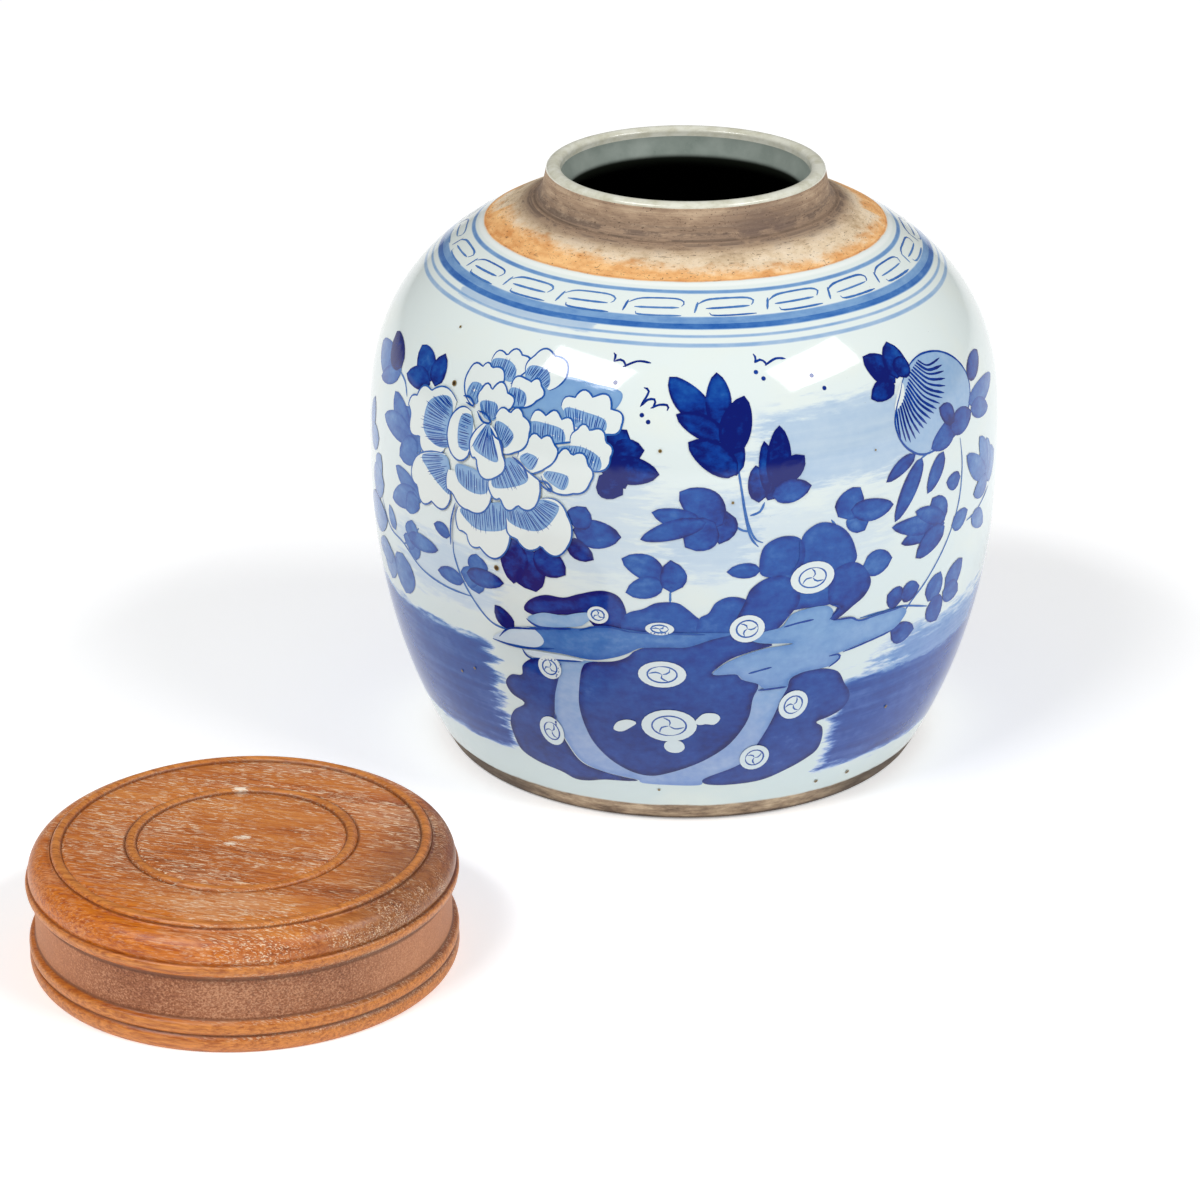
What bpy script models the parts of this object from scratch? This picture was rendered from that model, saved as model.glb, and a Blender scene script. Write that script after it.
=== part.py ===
"""Ginger jar: a turned porcelain jar, with its turned wooden lid lying beside it.

Metres, +Z up. The origin is on the table, at the middle of the ground that the two pieces cover.
The jar stands behind and to the right, and the lid lies in front of it and to the left.
"""

import math

import bpy
from mathutils import Vector
from mathutils.geometry import interpolate_bezier

# Driving dimensions of the jar.
BELLY_RADIUS = 0.104
BELLY_HEIGHT = 0.099
JAR_HEIGHT = 0.197
FOOT_RADIUS = 0.0774
SHOULDER_RADIUS = 0.0653
SHOULDER_HEIGHT = 0.1782
NECK_BASE_RADIUS = 0.0486
NECK_BASE_HEIGHT = 0.1862
RIM_RADIUS = 0.0452
MOUTH_RADIUS = 0.0404
WALL = 0.0058
BASE = 0.007
BASE_HOLLOW = 0.005
FOOT_RING_WIDTH = 0.0065
FOOT_EDGE = 0.0015
LIP_RISE = 0.0016

# Driving dimensions of the lid.
LID_RADIUS = 0.0648
LID_HEIGHT = 0.038
LID_BORE_RADIUS = 0.0505
LID_BORE_DEPTH = 0.020
TOP_RADIUS = 0.0569
FRIEZE_RADIUS = 0.0626
INNER_RING_RADIUS = 0.033
RING_WIDTH = 0.0033
RING_RISE = 0.0009
MOULDING_LIP_HEIGHT = 0.0262
FRIEZE_TOP = 0.0226
FRIEZE_BOTTOM = 0.0104
BEAD_RADIUS = 0.0640
BEAD_GROOVE_HEIGHT = 0.0051

# Where the lid lies, measured from the jar's axis.
LID_LEFT = 0.131
LID_FRONT = 0.170

TURNED_STEPS = 48
MERGE_DISTANCE = 0.00001
SHARP_ANGLE = math.radians(35)


def curve(start, start_handle, end_handle, end, points):
    """Points along a Bezier curve, without its first one."""
    corners = [Vector((radius, 0, height)) for radius, height in (start, start_handle, end_handle, end)]
    return [(point.x, point.z) for point in interpolate_bezier(*corners, points + 1)[1:]]


def arch(middle, height, half_width, rise, points):
    """A rounded ridge from its inner side over to its outer side."""
    turns = [math.pi * (1 - step / points) for step in range(points + 1)]
    return [(middle + half_width * math.cos(turn), height + rise * math.sin(turn)) for turn in turns]


def rim_profile():
    """Over the glazed lip, from inside the mouth to the outside of the neck."""
    middle = (MOUTH_RADIUS + RIM_RADIUS) / 2
    half_width = (RIM_RADIUS - MOUTH_RADIUS) / 2
    return arch(middle, JAR_HEIGHT - LIP_RISE, half_width, LIP_RISE, 6)


def inside_profile():
    """From the middle of the floor up to the mouth."""
    floor = BASE_HOLLOW + BASE
    floor_edge = (0.066, floor)
    corner = (0.079, floor + 0.006)
    belly = (BELLY_RADIUS - WALL, BELLY_HEIGHT)
    shoulder = (0.050, 0.1788)
    throat = (MOUTH_RADIUS - 0.0022, NECK_BASE_HEIGHT + 0.0018)
    profile = [(0, floor), floor_edge]
    profile += curve(floor_edge, (0.072, floor), (0.076, floor + 0.002), corner, 3)
    profile += curve(corner, (0.0865, 0.0285), (belly[0], 0.054), belly, 7)
    profile += curve(belly, (belly[0], 0.123), (0.090, 0.1588), shoulder, 8)
    profile += curve(shoulder, (0.044, 0.1815), (throat[0], 0.183), throat, 4)
    return profile


def neck_profile():
    """From the lip down the bare neck and out to the edge of the glaze."""
    lip = rim_profile()[-1]
    neck_base = (NECK_BASE_RADIUS, NECK_BASE_HEIGHT)
    shoulder = (SHOULDER_RADIUS, SHOULDER_HEIGHT)
    profile = curve(lip, (0.0459, 0.1915), (0.0467, 0.1878), neck_base, 4)
    profile += curve(neck_base, (0.0520, 0.1844), (0.0587, 0.1819), shoulder, 4)
    return profile


def wall_profile():
    """From the shoulder down over the belly to the foot."""
    shoulder = (SHOULDER_RADIUS, SHOULDER_HEIGHT)
    belly = (BELLY_RADIUS, BELLY_HEIGHT)
    foot_side = (FOOT_RADIUS + 0.0023, FOOT_EDGE)
    profile = curve(shoulder, (0.1053, 0.1561), (BELLY_RADIUS, 0.1255), belly, 11)
    profile += curve(belly, (BELLY_RADIUS, 0.0520), (0.0899, 0.0185), foot_side, 8)
    return profile


def foot_profile():
    """Under the foot ring and over the hollow of the base to the axis."""
    ring_inside = FOOT_RADIUS - FOOT_RING_WIDTH
    return [
        (FOOT_RADIUS, 0),
        (ring_inside, 0),
        (ring_inside - FOOT_EDGE, BASE_HOLLOW - 0.001),
        (0.060, BASE_HOLLOW),
        (0, BASE_HOLLOW),
    ]


def jar_profile():
    return inside_profile() + rim_profile() + neck_profile() + wall_profile() + foot_profile()


def top_profile():
    """The flat top from the axis out over its two raised rings."""
    panel = LID_HEIGHT - RING_RISE
    half_ring = RING_WIDTH / 2
    profile = [(0, panel)]
    profile += arch(INNER_RING_RADIUS, panel, half_ring, RING_RISE, 4)
    profile += arch(TOP_RADIUS - half_ring, panel, half_ring, RING_RISE, 4)
    return profile


def side_profile():
    """Down the lid's side: the round moulding, the flat frieze, then the two beads at the base."""
    panel = LID_HEIGHT - RING_RISE
    moulding_top = (TOP_RADIUS + 0.0003, panel - 0.0008)
    moulding_lip = (LID_RADIUS, MOULDING_LIP_HEIGHT)
    moulding_under = (LID_RADIUS - 0.0003, MOULDING_LIP_HEIGHT - 0.0014)
    frieze_top = (FRIEZE_RADIUS, FRIEZE_TOP)
    frieze_bottom = (FRIEZE_RADIUS, FRIEZE_BOTTOM)
    upper_bead_top = (FRIEZE_RADIUS + 0.0012, FRIEZE_BOTTOM - 0.0009)
    upper_bead_bottom = (BEAD_RADIUS, BEAD_GROOVE_HEIGHT + 0.0006)
    lower_bead_top = (BEAD_RADIUS, BEAD_GROOVE_HEIGHT)
    bead_pull = BEAD_RADIUS + 0.0007
    lower_bead_pull = BEAD_RADIUS + 0.0010
    profile = [moulding_top]
    profile += curve(moulding_top, (0.0608, 0.0358), (LID_RADIUS - 0.0002, 0.0318), moulding_lip, 6)
    profile += [moulding_under, (FRIEZE_RADIUS + 0.0006, FRIEZE_TOP + 0.0012), frieze_top]
    profile += [frieze_bottom, upper_bead_top]
    profile += curve(upper_bead_top, (bead_pull, 0.0087), (bead_pull, 0.0066), upper_bead_bottom, 3)
    profile += [lower_bead_top]
    profile += curve(lower_bead_top, (lower_bead_pull, 0.0044), (lower_bead_pull, 0.0012), (BEAD_RADIUS - 0.0006, 0), 4)
    return profile


def bore_profile():
    """Up inside the lid, where the jar's neck goes."""
    edge = 0.0008
    return [
        (LID_BORE_RADIUS + edge, 0),
        (LID_BORE_RADIUS, edge),
        (LID_BORE_RADIUS, LID_BORE_DEPTH - edge),
        (LID_BORE_RADIUS - edge, LID_BORE_DEPTH),
        (0, LID_BORE_DEPTH),
    ]


def lid_profile():
    return top_profile() + side_profile() + bore_profile()


def material(name, colour, roughness, coat):
    made = bpy.data.materials.new(name)
    made.use_nodes = True
    shader = made.node_tree.nodes["Principled BSDF"]
    shader.inputs["Base Color"].default_value = (*colour, 1)
    shader.inputs["Roughness"].default_value = roughness
    shader.inputs["Metallic"].default_value = 0
    shader.inputs["Coat Weight"].default_value = coat
    return made


def turned(name, profile, place, surface, collection):
    """A solid turned round its own upright axis from its profile."""
    mesh = bpy.data.meshes.new(name)
    corners = [(radius, 0, height) for radius, height in profile]
    edges = [(index, index + 1) for index in range(len(corners) - 1)]
    mesh.from_pydata(corners, edges, [])
    mesh.materials.append(surface)
    piece = bpy.data.objects.new(name, mesh)
    piece.location = place
    collection.objects.link(piece)
    screw = piece.modifiers.new("turn", "SCREW")
    screw.axis = "Z"
    screw.steps = TURNED_STEPS
    screw.render_steps = TURNED_STEPS
    screw.use_merge_vertices = True
    screw.merge_threshold = MERGE_DISTANCE
    bpy.context.view_layer.objects.active = piece
    piece.select_set(True)
    bpy.ops.object.modifier_apply(modifier=screw.name)
    piece.data.shade_smooth()
    piece.data.set_sharp_from_angle(angle=SHARP_ANGLE)
    piece.select_set(False)
    return piece


def places():
    """(the jar's place, the lid's place), with the ground that they cover centred on the origin."""
    jar_x = (LID_LEFT + LID_RADIUS - BELLY_RADIUS) / 2
    jar_y = (LID_FRONT + LID_RADIUS - BELLY_RADIUS) / 2
    return (jar_x, jar_y, 0), (jar_x - LID_LEFT, jar_y - LID_FRONT, 0)


def main():
    for old in list(bpy.data.objects):
        bpy.data.objects.remove(old, do_unlink=True)
    collection = bpy.data.collections.new("ginger_jar")
    bpy.context.scene.collection.children.link(collection)
    porcelain = material("porcelain", (0.63, 0.70, 0.72), 0.12, 0.6)
    wood = material("wood", (0.42, 0.20, 0.09), 0.5, 0.1)
    jar_place, lid_place = places()
    turned("jar_body", jar_profile(), jar_place, porcelain, collection)
    turned("jar_lid", lid_profile(), lid_place, wood, collection)


main()
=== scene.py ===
# Ginger jar, blue and white, with its turned wooden lid off and lying beside it.
import math
import random

import bpy
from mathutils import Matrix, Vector
from mathutils.geometry import delaunay_2d_cdt, interpolate_bezier


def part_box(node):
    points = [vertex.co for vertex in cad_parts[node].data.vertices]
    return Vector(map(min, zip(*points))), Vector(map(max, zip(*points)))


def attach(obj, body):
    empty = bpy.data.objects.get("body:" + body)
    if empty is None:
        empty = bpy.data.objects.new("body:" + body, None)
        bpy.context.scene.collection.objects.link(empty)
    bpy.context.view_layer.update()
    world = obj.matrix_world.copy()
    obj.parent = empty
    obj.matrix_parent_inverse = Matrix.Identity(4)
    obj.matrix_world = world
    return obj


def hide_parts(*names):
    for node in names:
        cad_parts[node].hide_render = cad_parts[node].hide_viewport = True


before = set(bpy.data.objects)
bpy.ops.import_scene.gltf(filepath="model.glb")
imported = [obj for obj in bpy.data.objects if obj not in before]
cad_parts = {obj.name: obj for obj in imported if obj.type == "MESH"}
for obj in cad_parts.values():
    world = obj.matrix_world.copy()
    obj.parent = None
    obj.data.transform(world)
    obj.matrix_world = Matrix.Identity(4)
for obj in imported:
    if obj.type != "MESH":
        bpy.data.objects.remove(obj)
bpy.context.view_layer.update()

mm = 0.001
dice = random.Random(7)


# small tools

def paint(red, green, blue):
    # a screen colour, 0 to 255, as the linear one that shaders use
    parts = [value / 255 for value in (red, green, blue)]
    return tuple(part / 12.92 if part < 0.04045 else ((part + 0.055) / 1.055) ** 2.4 for part in parts)


def axisOf(node):
    # where a turned piece's axis meets the table, its widest radius and its height, the last two in mm
    low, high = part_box(node)
    middle = Vector(((low[0] + high[0]) / 2, (low[1] + high[1]) / 2, 0))
    return middle, (high[0] - low[0]) / 2 / mm, high[2] / mm


def bend(start, startPull, endPull, end, points):
    # points along a Bezier curve, without its first one
    corners = [Vector((*corner, 0)) for corner in (start, startPull, endPull, end)]
    return [(point.x, point.y) for point in interpolate_bezier(*corners, points + 1)[1:]]


def bends(start, curves):
    # several curves on end; each has its two pulls, its end and how many points it has
    found = []
    for startPull, endPull, end, points in curves:
        found += bend(start, startPull, endPull, end, points)
        start = end
    return found


def ridge(middle, height, halfWidth, rise, points):
    # a rounded ridge, from its inner side over to its outer side
    turns = [math.pi * (1 - step / points) for step in range(points + 1)]
    return [(middle + halfWidth * math.cos(turn), height + rise * math.sin(turn)) for turn in turns]


def lengthsAlong(profile):
    lengths = [0]
    for (r0, z0), (r1, z1) in zip(profile, profile[1:]):
        lengths.append(lengths[-1] + math.hypot(r1 - r0, z1 - z0))
    return lengths


def lathe(name, profile, rises, slots, steps, place, materials):
    # turn a profile (radius, height, in mm) round its axis; slots gives each ring's material
    points = []
    riseValues = []
    for (radius, height), rise in zip(profile, rises):
        for step in range(steps):
            turn = 2 * math.pi * step / steps
            points.append((radius * mm * math.sin(turn), -radius * mm * math.cos(turn), height * mm))
            riseValues.append(rise)
    faces = []
    faceSlots = []
    for ring in range(len(profile) - 1):
        for step in range(steps):
            after = (step + 1) % steps
            low, high = ring * steps, (ring + 1) * steps
            faces.append((low + step, low + after, high + after, high + step))
            faceSlots.append(slots[ring])
    mesh = bpy.data.meshes.new(name)
    mesh.from_pydata(points, [], faces)
    mesh.attributes.new("rise", "FLOAT", "POINT").data.foreach_set("value", riseValues)
    for material in materials:
        mesh.materials.append(material)
    mesh.polygons.foreach_set("material_index", faceSlots)
    mesh.shade_smooth()
    mesh.set_sharp_from_angle(angle=math.radians(40))
    piece = bpy.data.objects.new(name, mesh)
    piece.location = place
    bpy.context.scene.collection.objects.link(piece)
    return piece


# shader maths

class Wire:
    # a socket that can be used in sums
    def __init__(self, surface, socket):
        self.surface = surface
        self.socket = socket

    def sum(self, operation, first, second=0.0):
        return self.surface.node("ShaderNodeMath", {"operation": operation}, {0: first, 1: second})

    def __add__(self, other):
        return self.sum("ADD", self, other)

    def __sub__(self, other):
        return self.sum("SUBTRACT", self, other)

    def __rsub__(self, other):
        return self.sum("SUBTRACT", other, self)

    def __mul__(self, other):
        return self.sum("MULTIPLY", self, other)

    def __truediv__(self, other):
        return self.sum("DIVIDE", self, other)

    def __abs__(self):
        return self.sum("ABSOLUTE", self)

    def over(self, other):
        return self.sum("MAXIMUM", self, other)

    def under(self, other):
        return self.sum("MINIMUM", self, other)

    def limited(self):
        return self.over(0.0).under(1.0)

    def between(self, low, high):
        # 0 at low, 1 at high, eased
        settings = {"interpolation_type": "SMOOTHSTEP"}
        return self.surface.node("ShaderNodeMapRange", settings, {0: self, 1: low, 2: high})

    def near(self, middle, halfWidth, soft):
        # 1 close to the middle value, falling to 0 past halfWidth
        return 1.0 - abs(self - middle).between(halfWidth - soft / 2, halfWidth + soft / 2)

    def inside(self, low, high, soft):
        # 1 from low to high, falling to 0 past them
        entered = self.between(low - soft / 2, low + soft / 2)
        left = self.between(high - soft / 2, high + soft / 2)
        return entered * (1.0 - left)

    __radd__ = __add__
    __rmul__ = __mul__


class Surface:
    # one material, with the nodes behind it
    def __init__(self, name):
        self.material = bpy.data.materials.new(name)
        self.material.use_nodes = True
        self.tree = self.material.node_tree
        self.shader = self.tree.nodes["Principled BSDF"]
        self.place = self.node("ShaderNodeTexCoord", {}, {}, "Object")

    def plug(self, socket, value):
        if isinstance(value, Wire):
            self.tree.links.new(value.socket, socket)
        elif isinstance(value, tuple) and len(value) == 3 and len(socket.default_value) == 4:
            socket.default_value = (*value, 1)
        else:
            socket.default_value = value

    def node(self, kind, settings, values, output=0):
        # any node: its settings first, then the values or links of its sockets
        made = self.tree.nodes.new(kind)
        for name, value in settings.items():
            if name == "stops":
                ramp = made.color_ramp.elements
                while len(ramp) < len(value):
                    ramp.new(0.5)
                for stop, (position, colour) in zip(ramp, value):
                    stop.position = position
                    stop.color = (*colour, 1)
            else:
                setattr(made, name, value)
        for name, value in values.items():
            self.plug(made.inputs[name], value)
        return Wire(self, made.outputs[output])

    def set(self, name, value):
        self.plug(self.shader.inputs[name], value)

    def attribute(self, name):
        return self.node("ShaderNodeAttribute", {"attribute_name": name}, {}, "Fac")

    def axis(self, name):
        # one of the piece's own coordinates, in metres: X across, Y back, Z up
        return self.node("ShaderNodeSeparateXYZ", {}, {"Vector": self.place}, name)

    def cloud(self, marks, detail=2.0, roughness=0.5, distortion=0.0, place=None):
        # soft noise; marks is about how many there are in a mm across, back and up
        scale = tuple(count / mm for count in marks)
        stretched = self.node("ShaderNodeMapping", {}, {"Vector": place or self.place, "Scale": scale})
        values = {"Vector": stretched, "Scale": 1.0, "Detail": detail, "Roughness": roughness}
        values["Distortion"] = distortion
        return self.node("ShaderNodeTexNoise", {}, values)

    def ramp(self, amount, stops):
        # stops are (position, (red, green, blue)), as screen colours
        painted = [(position, paint(*colour)) for position, colour in stops]
        return self.node("ShaderNodeValToRGB", {"stops": painted}, {"Fac": amount})

    def mix(self, amount, first, second):
        settings = {"data_type": "RGBA", "blend_type": "MIX", "clamp_factor": True}
        return self.node("ShaderNodeMix", settings, {0: amount, 6: first, 7: second}, 2)

    def cover(self, under, where, coat, along=None):
        # lay a coat over a colour: how strongly, and its colour, or its stops along a value
        strength, colour = coat
        laid = self.ramp(along, colour) if along else paint(*colour)
        return self.mix(where * strength, under, laid)

    def bump(self, height, strength, distance):
        values = {"Strength": strength, "Distance": distance * mm, "Height": height}
        return self.node("ShaderNodeBump", {}, values)

    def turnAndRise(self):
        # degrees round the jar from its front, repeating on the back, and mm up the wall
        bearing = {0: self.axis("X"), 1: self.axis("Y") * -1.0}
        turn = self.node("ShaderNodeMath", {"operation": "ARCTAN2"}, bearing) * math.degrees(1)
        wrapped = self.node("ShaderNodeMath", {"operation": "FLOORED_MODULO"}, {0: turn + 90.0, 1: 180.0})
        return wrapped - 90.0, self.attribute("rise")


def strongest(marks):
    # the greatest of several masks at each place
    most = marks[0]
    for mark in marks[1:]:
        most = most.over(mark)
    return most


# the jar's shape

jarPlace, bellyRadius, jarHeight = axisOf("jar_body")

innerBelly = bellyRadius - 5.8  # the wall's thickness

jarShape = {
    "footRadius": 77.4,
    "baseHollow": 5.0,
    "baseRadii": (0.01, 30, 60),
    "footRing": [(-8.0, 4), (-6.7, 0.3), (-5.9, 0), (0, 0), (1.2, 0.4)],  # out from its radius, and up
    "footSide": (2.3, 1.5),
    "rimRadius": 45.2,
    "mouthRadius": 40.4,
    "lipRise": 1.6,
    "floorHeight": 12.0,
    "floorRadii": (30, 0.01),
    "steps": 288,
    # curves, each with its two pulls, its end and how many points it has: up the wall,
    # then over the bare shoulder, up the neck (which ends at the lip) and down the inside
    "wall": [
        ((89.9, 18.5), (bellyRadius, 52), (bellyRadius, 99), 52),
        ((bellyRadius, 125.5), (105.3, 156.1), (65.3, 178.2), 52),
    ],
    "shoulder": ((58.7, 181.9), (52, 184.4), (48.6, 186.2), 12),
    "neck": ((46.7, 187.8), (45.9, 191.5), 8),
    "inside": [
        ((40.4, 193), (38.8, 190), (38.2, 188), 6), ((38.2, 183), (44, 181.5), (50, 178.8), 8),
        ((90, 158.8), (innerBelly, 123), (innerBelly, 99), 20),
        ((innerBelly, 54), (86.5, 28.5), (79, 18), 20), ((76, 14), (72, 12), (66, 12), 6),
    ],
}


def wallProfile():
    # up the outside, from the foot's side to the edge of the glaze
    out, up = jarShape["footSide"]
    footSide = (jarShape["footRadius"] + out, up)
    return [footSide] + bends(footSide, jarShape["wall"])


wall = wallProfile()
wallStart = 1.75  # how far up the wall its first point is, past the foot's rounded edge
wallRises = [wallStart + length for length in lengthsAlong(wall)]
glazeTop = wallRises[-1]


def wallAt(rise):
    # (radius, height, outward slope, upward slope) at a distance up the wall
    index = 0
    while index < len(wallRises) - 2 and wallRises[index + 1] < rise:
        index += 1
    (r0, z0), (r1, z1) = wall[index], wall[index + 1]
    length = wallRises[index + 1] - wallRises[index]
    share = (rise - wallRises[index]) / length
    return r0 + (r1 - r0) * share, z0 + (z1 - z0) * share, (z1 - z0) / length, (r0 - r1) / length


def smoothWallAt(rise):
    # the same with the slope blended over 2 mm, so that shading has no facets
    radius, height = wallAt(rise)[:2]
    low, high = wallAt(rise - 1), wallAt(rise + 1)
    return radius, height, (low[2] + high[2]) / 2, (low[3] + high[3]) / 2


def jarProfile():
    # from the middle of the base, up the outside, over the lip and down to the middle of the floor
    shape = jarShape
    rimRadius, mouthRadius, lipRise = shape["rimRadius"], shape["mouthRadius"], shape["lipRise"]
    profile = [(radius, shape["baseHollow"]) for radius in shape["baseRadii"]]
    profile += [(shape["footRadius"] + out, up) for out, up in shape["footRing"]]
    wallFrom = len(profile)
    profile += wall
    lipMiddle, lipHalf = (rimRadius + mouthRadius) / 2, (rimRadius - mouthRadius) / 2
    lip = ridge(lipMiddle, jarHeight - lipRise, lipHalf, lipRise, 16)
    lip.reverse()
    profile += bend(wall[-1], *shape["shoulder"])
    neckBase = shape["shoulder"][2]
    startPull, endPull, points = shape["neck"]
    profile += bend(neckBase, startPull, endPull, lip[0], points)
    lipFrom = len(profile)
    profile += lip[1:]
    insideFrom = len(profile)
    profile += bends(lip[-1], shape["inside"])
    profile += [(radius, shape["floorHeight"]) for radius in shape["floorRadii"]]
    return profile, wallFrom, lipFrom, insideFrom


# cobalt under the glaze

cobalt = {
    # from bare glaze to the deepest blue, high on the wall and low on it
    "clear": [(0, (219, 227, 225)), (0.12, (194, 210, 222)), (0.35, (124, 162, 203)), (0.55, (66, 116, 180)),
              (0.72, (20, 80, 160)), (0.86, (2, 54, 142)), (1, (0, 18, 104))],
    "violet": [(0, (206, 219, 220)), (0.12, (186, 200, 217)), (0.35, (118, 146, 196)), (0.55, (64, 98, 168)),
               (0.72, (22, 62, 142)), (0.86, (8, 42, 120)), (1, (4, 20, 88))],
    "violetFrom": 92.0,     # the blue starts to turn here, mm up the wall
    "violetTo": 26.0,
    "uneven": 50.0,         # how far the turn strays, in mm
    "fine": ((0.35, 0.35, 0.5), 4.0, 0.6),
    "coarse": ((0.07, 0.07, 0.09), 2.0),
    "coarseShare": 1.4,     # how much more the coarse marks count than the fine ones
}

glassy = {
    "refraction": 1.46,
    "smooth": 0.05,         # the glaze's roughness, and what its pits add
    "pitted": 0.05,
    "waves": ((0.03, 0.03, 0.05), 1.0),
    "pits": ((1.2, 1.2, 1.2), 2.0),
    "pitDepth": 0.01,
    "relief": 0.25,
}


def cobaltColour(surface, tone, rise, mottle=0.3):
    # tone, from 0 to 1, is how much blue the brush left
    fine = surface.cloud(*cobalt["fine"])
    coarse = surface.cloud(*cobalt["coarse"])
    share = mottle * cobalt["coarseShare"]
    mottled = (tone + tone * (fine - 0.5) * mottle + tone * (coarse - 0.5) * share).limited()
    clear = surface.ramp(mottled, cobalt["clear"])
    violet = surface.ramp(mottled, cobalt["violet"])
    lowDown = (rise + (coarse - 0.5) * cobalt["uneven"]).between(cobalt["violetFrom"], cobalt["violetTo"])
    return surface.mix(lowDown, clear, violet)


def glazeRelief(surface):
    # how the glaze waves, with its pits
    pits = surface.cloud(*glassy["pits"])
    return surface.cloud(*glassy["waves"]) + pits * glassy["pitDepth"], pits


def glazeFinish(surface):
    # the same glassy coat lies over the bare glaze and the painting
    relief, pits = glazeRelief(surface)
    surface.set("Roughness", glassy["smooth"] + pits * glassy["pitted"])
    surface.set("IOR", glassy["refraction"])
    surface.set("Normal", surface.bump(relief, glassy["relief"], 1.0))


def paintedGlaze(name, darkRim, rimWidth, mottle):
    # tone and fromEdge come with each brush mark: how blue it is, and how far in from its edge (mm)
    surface = Surface(name)
    tone = surface.attribute("tone")
    fromEdge = surface.attribute("fromEdge")
    pooled = (1.0 - fromEdge.between(0.0, rimWidth)) * darkRim * tone
    surface.set("Base Color", cobaltColour(surface, tone + pooled, surface.attribute("rise"), mottle))
    glazeFinish(surface)
    return surface.material


# the jar's skin

skin = {
    "footBand": 8.0,        # bare clay up to here, mm up the wall
    "rings": [              # painted rings: place, half width, tone
        (193.3, 0.7, 0.42), (180.2, 1.1, 0.58), (181.3, 2.3, 0.4), (176.6, 0.5, 0.3), (173.5, 0.7, 0.28),
    ],
    "washes": [             # turn from, to, rise from, to, tone, softness
        (-120, -37, 24, 67, 0.74, 4), (31, 76, 19, 56, 0.74, 4), (71, 120, 24, 67, 0.74, 8),
        (40, 76, 50, 68, 0.45, 12),
        (12, 48, 126, 152, 0.2, 9), (-4, 14, 99, 127, 0.16, 9), (-62, -34, 77, 100, 0.15, 9),
        (-24, -4, 96, 134, 0.12, 12), (10, 40, 98, 122, 0.1, 12),
        (-60, -20, 176, 182, 0.2, 2), (20, 60, 128, 150, 0.08, 20),
    ],
    "ringSoft": 0.7,
    # clouds of marks: about how many in a mm across, back and up, then detail and roughness
    "streaks": ((0.02, 0.02, 0.5), 3.0, 0.6),
    "ragged": ((0.08, 0.08, 0.45), 4.0, 0.65),
    "wander": ((0.012, 0.012, 0.002), 1.0),
    "cloudy": ((0.04, 0.04, 0.06), 3.0),
    "wandering": 2.4,       # how far the rings stray, in mm
    # the bare glaze up the wall, then coats on it: how strongly, and the colour
    "bare": [(0, (196, 210, 210)), (0.5, (212, 224, 225)), (0.9, (222, 231, 228))],
    "warm": (1.2, (228, 230, 214)),
    "dirtyPits": (0.7, (92, 88, 78)),
    "rolledEdge": (0.6, (240, 243, 240)),
    "clayRoughness": 0.72,
}

bareClay = {
    # clouds of marks: turning rings, grime, dark specks and scratches
    "turned": ((0.012, 0.012, 1.5), 3.0, 0.7),
    "grime": ((0.10, 0.10, 0.32), 5.0, 0.7),
    "specks": ((1.1, 1.1, 1.6), 3.0, 0.7),
    "scratches": ((0.25, 0.25, 2.2), 3.0, 0.7),
    # colours from dark grime to light
    "neck": [(0.34, (116, 94, 77)), (0.48, (164, 138, 113)), (0.66, (198, 174, 146))],
    "shoulder": [(0.32, (182, 156, 122)), (0.5, (222, 200, 168)), (0.65, (234, 216, 190))],
    "foot": [(0.35, (104, 84, 66)), (0.5, (152, 130, 106)), (0.65, (190, 168, 140))],
    # coats: how strongly, and the colour or colours
    "flashed": (0.85, [(0.35, (214, 142, 70)), (0.6, (246, 190, 118))]),
    "scorched": (0.5, (200, 122, 56)),
    "smoky": (0.8, (84, 66, 58)),
    "smudged": (0.7, (96, 76, 68)),
    "seam": (0.6, (64, 48, 38)),
    "speck": (0.75, (64, 46, 36)),
    "scratch": (0.55, (80, 60, 50)),
    # painted shade that darkens the foot's sides
    "footSideShade": (0.72, (48, 36, 28)),
    # painted contact shade along the very bottom of the foot, where it meets the table
    "footContactShade": (0.75, (52, 38, 26)),
    # bands over the edge of the glaze: middle, half width and softness, in mm
    "scorchedBand": (0.3, 0.35, 0.7),
    "smokyBand": (19.0, 4.2, 5.0),
    "smudgedBand": (23.0, 5.0, 5.0),
    "seamBand": (18.0, 0.4, 1.0),
    # and the same round the jar, in degrees
    "smudgedTurn": (32.0, 16.0, 30.0),
    # painted light: the foot's front keeps its paler colour, fading to the shaded sides
    "litFootFront": (0.0, 36.0, 20.0),
    # from where to where each one comes in: mm over the edge of the glaze, or up the wall for the foot
    "paleShoulder": (17.0, 8.0),
    "flashReach": (7.0, 0.5),
    "footHeight": (20.0, 10.0),
    "contactShadeHeight": (2.4, 1.0),
}


def glazeColour(surface, turn, rise, ragged, wander, pits):
    streaks = surface.cloud(*skin["streaks"])
    marks = []
    for place, halfWidth, depth in skin["rings"]:
        marks.append((rise + wander).near(place, halfWidth, skin["ringSoft"]) * depth * (0.6 + ragged * 0.8))
    for left, right, low, high, depth, soft in skin["washes"]:
        loose = (ragged - 0.5) * 2.0 * soft
        area = (turn + loose * 1.5).inside(left, right, soft) * (rise + loose).inside(low, high, soft)
        marks.append(area * depth * (0.72 + streaks * 0.5))
    tone = strongest(marks)
    painted = cobaltColour(surface, tone, rise)
    bare = surface.ramp(rise / 200.0, skin["bare"])
    bare = surface.cover(bare, surface.cloud(*skin["cloudy"]) - 0.5, skin["warm"])
    glaze = surface.mix(tone.between(0.0, 0.15), bare, painted)
    glaze = surface.cover(glaze, pits.between(0.78, 0.83), skin["dirtyPits"])
    rolled = (rise + wander * 0.3).near(glazeTop - 1.4, 0.7, 1.0)
    return surface.cover(glaze, rolled, skin["rolledEdge"])


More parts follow.
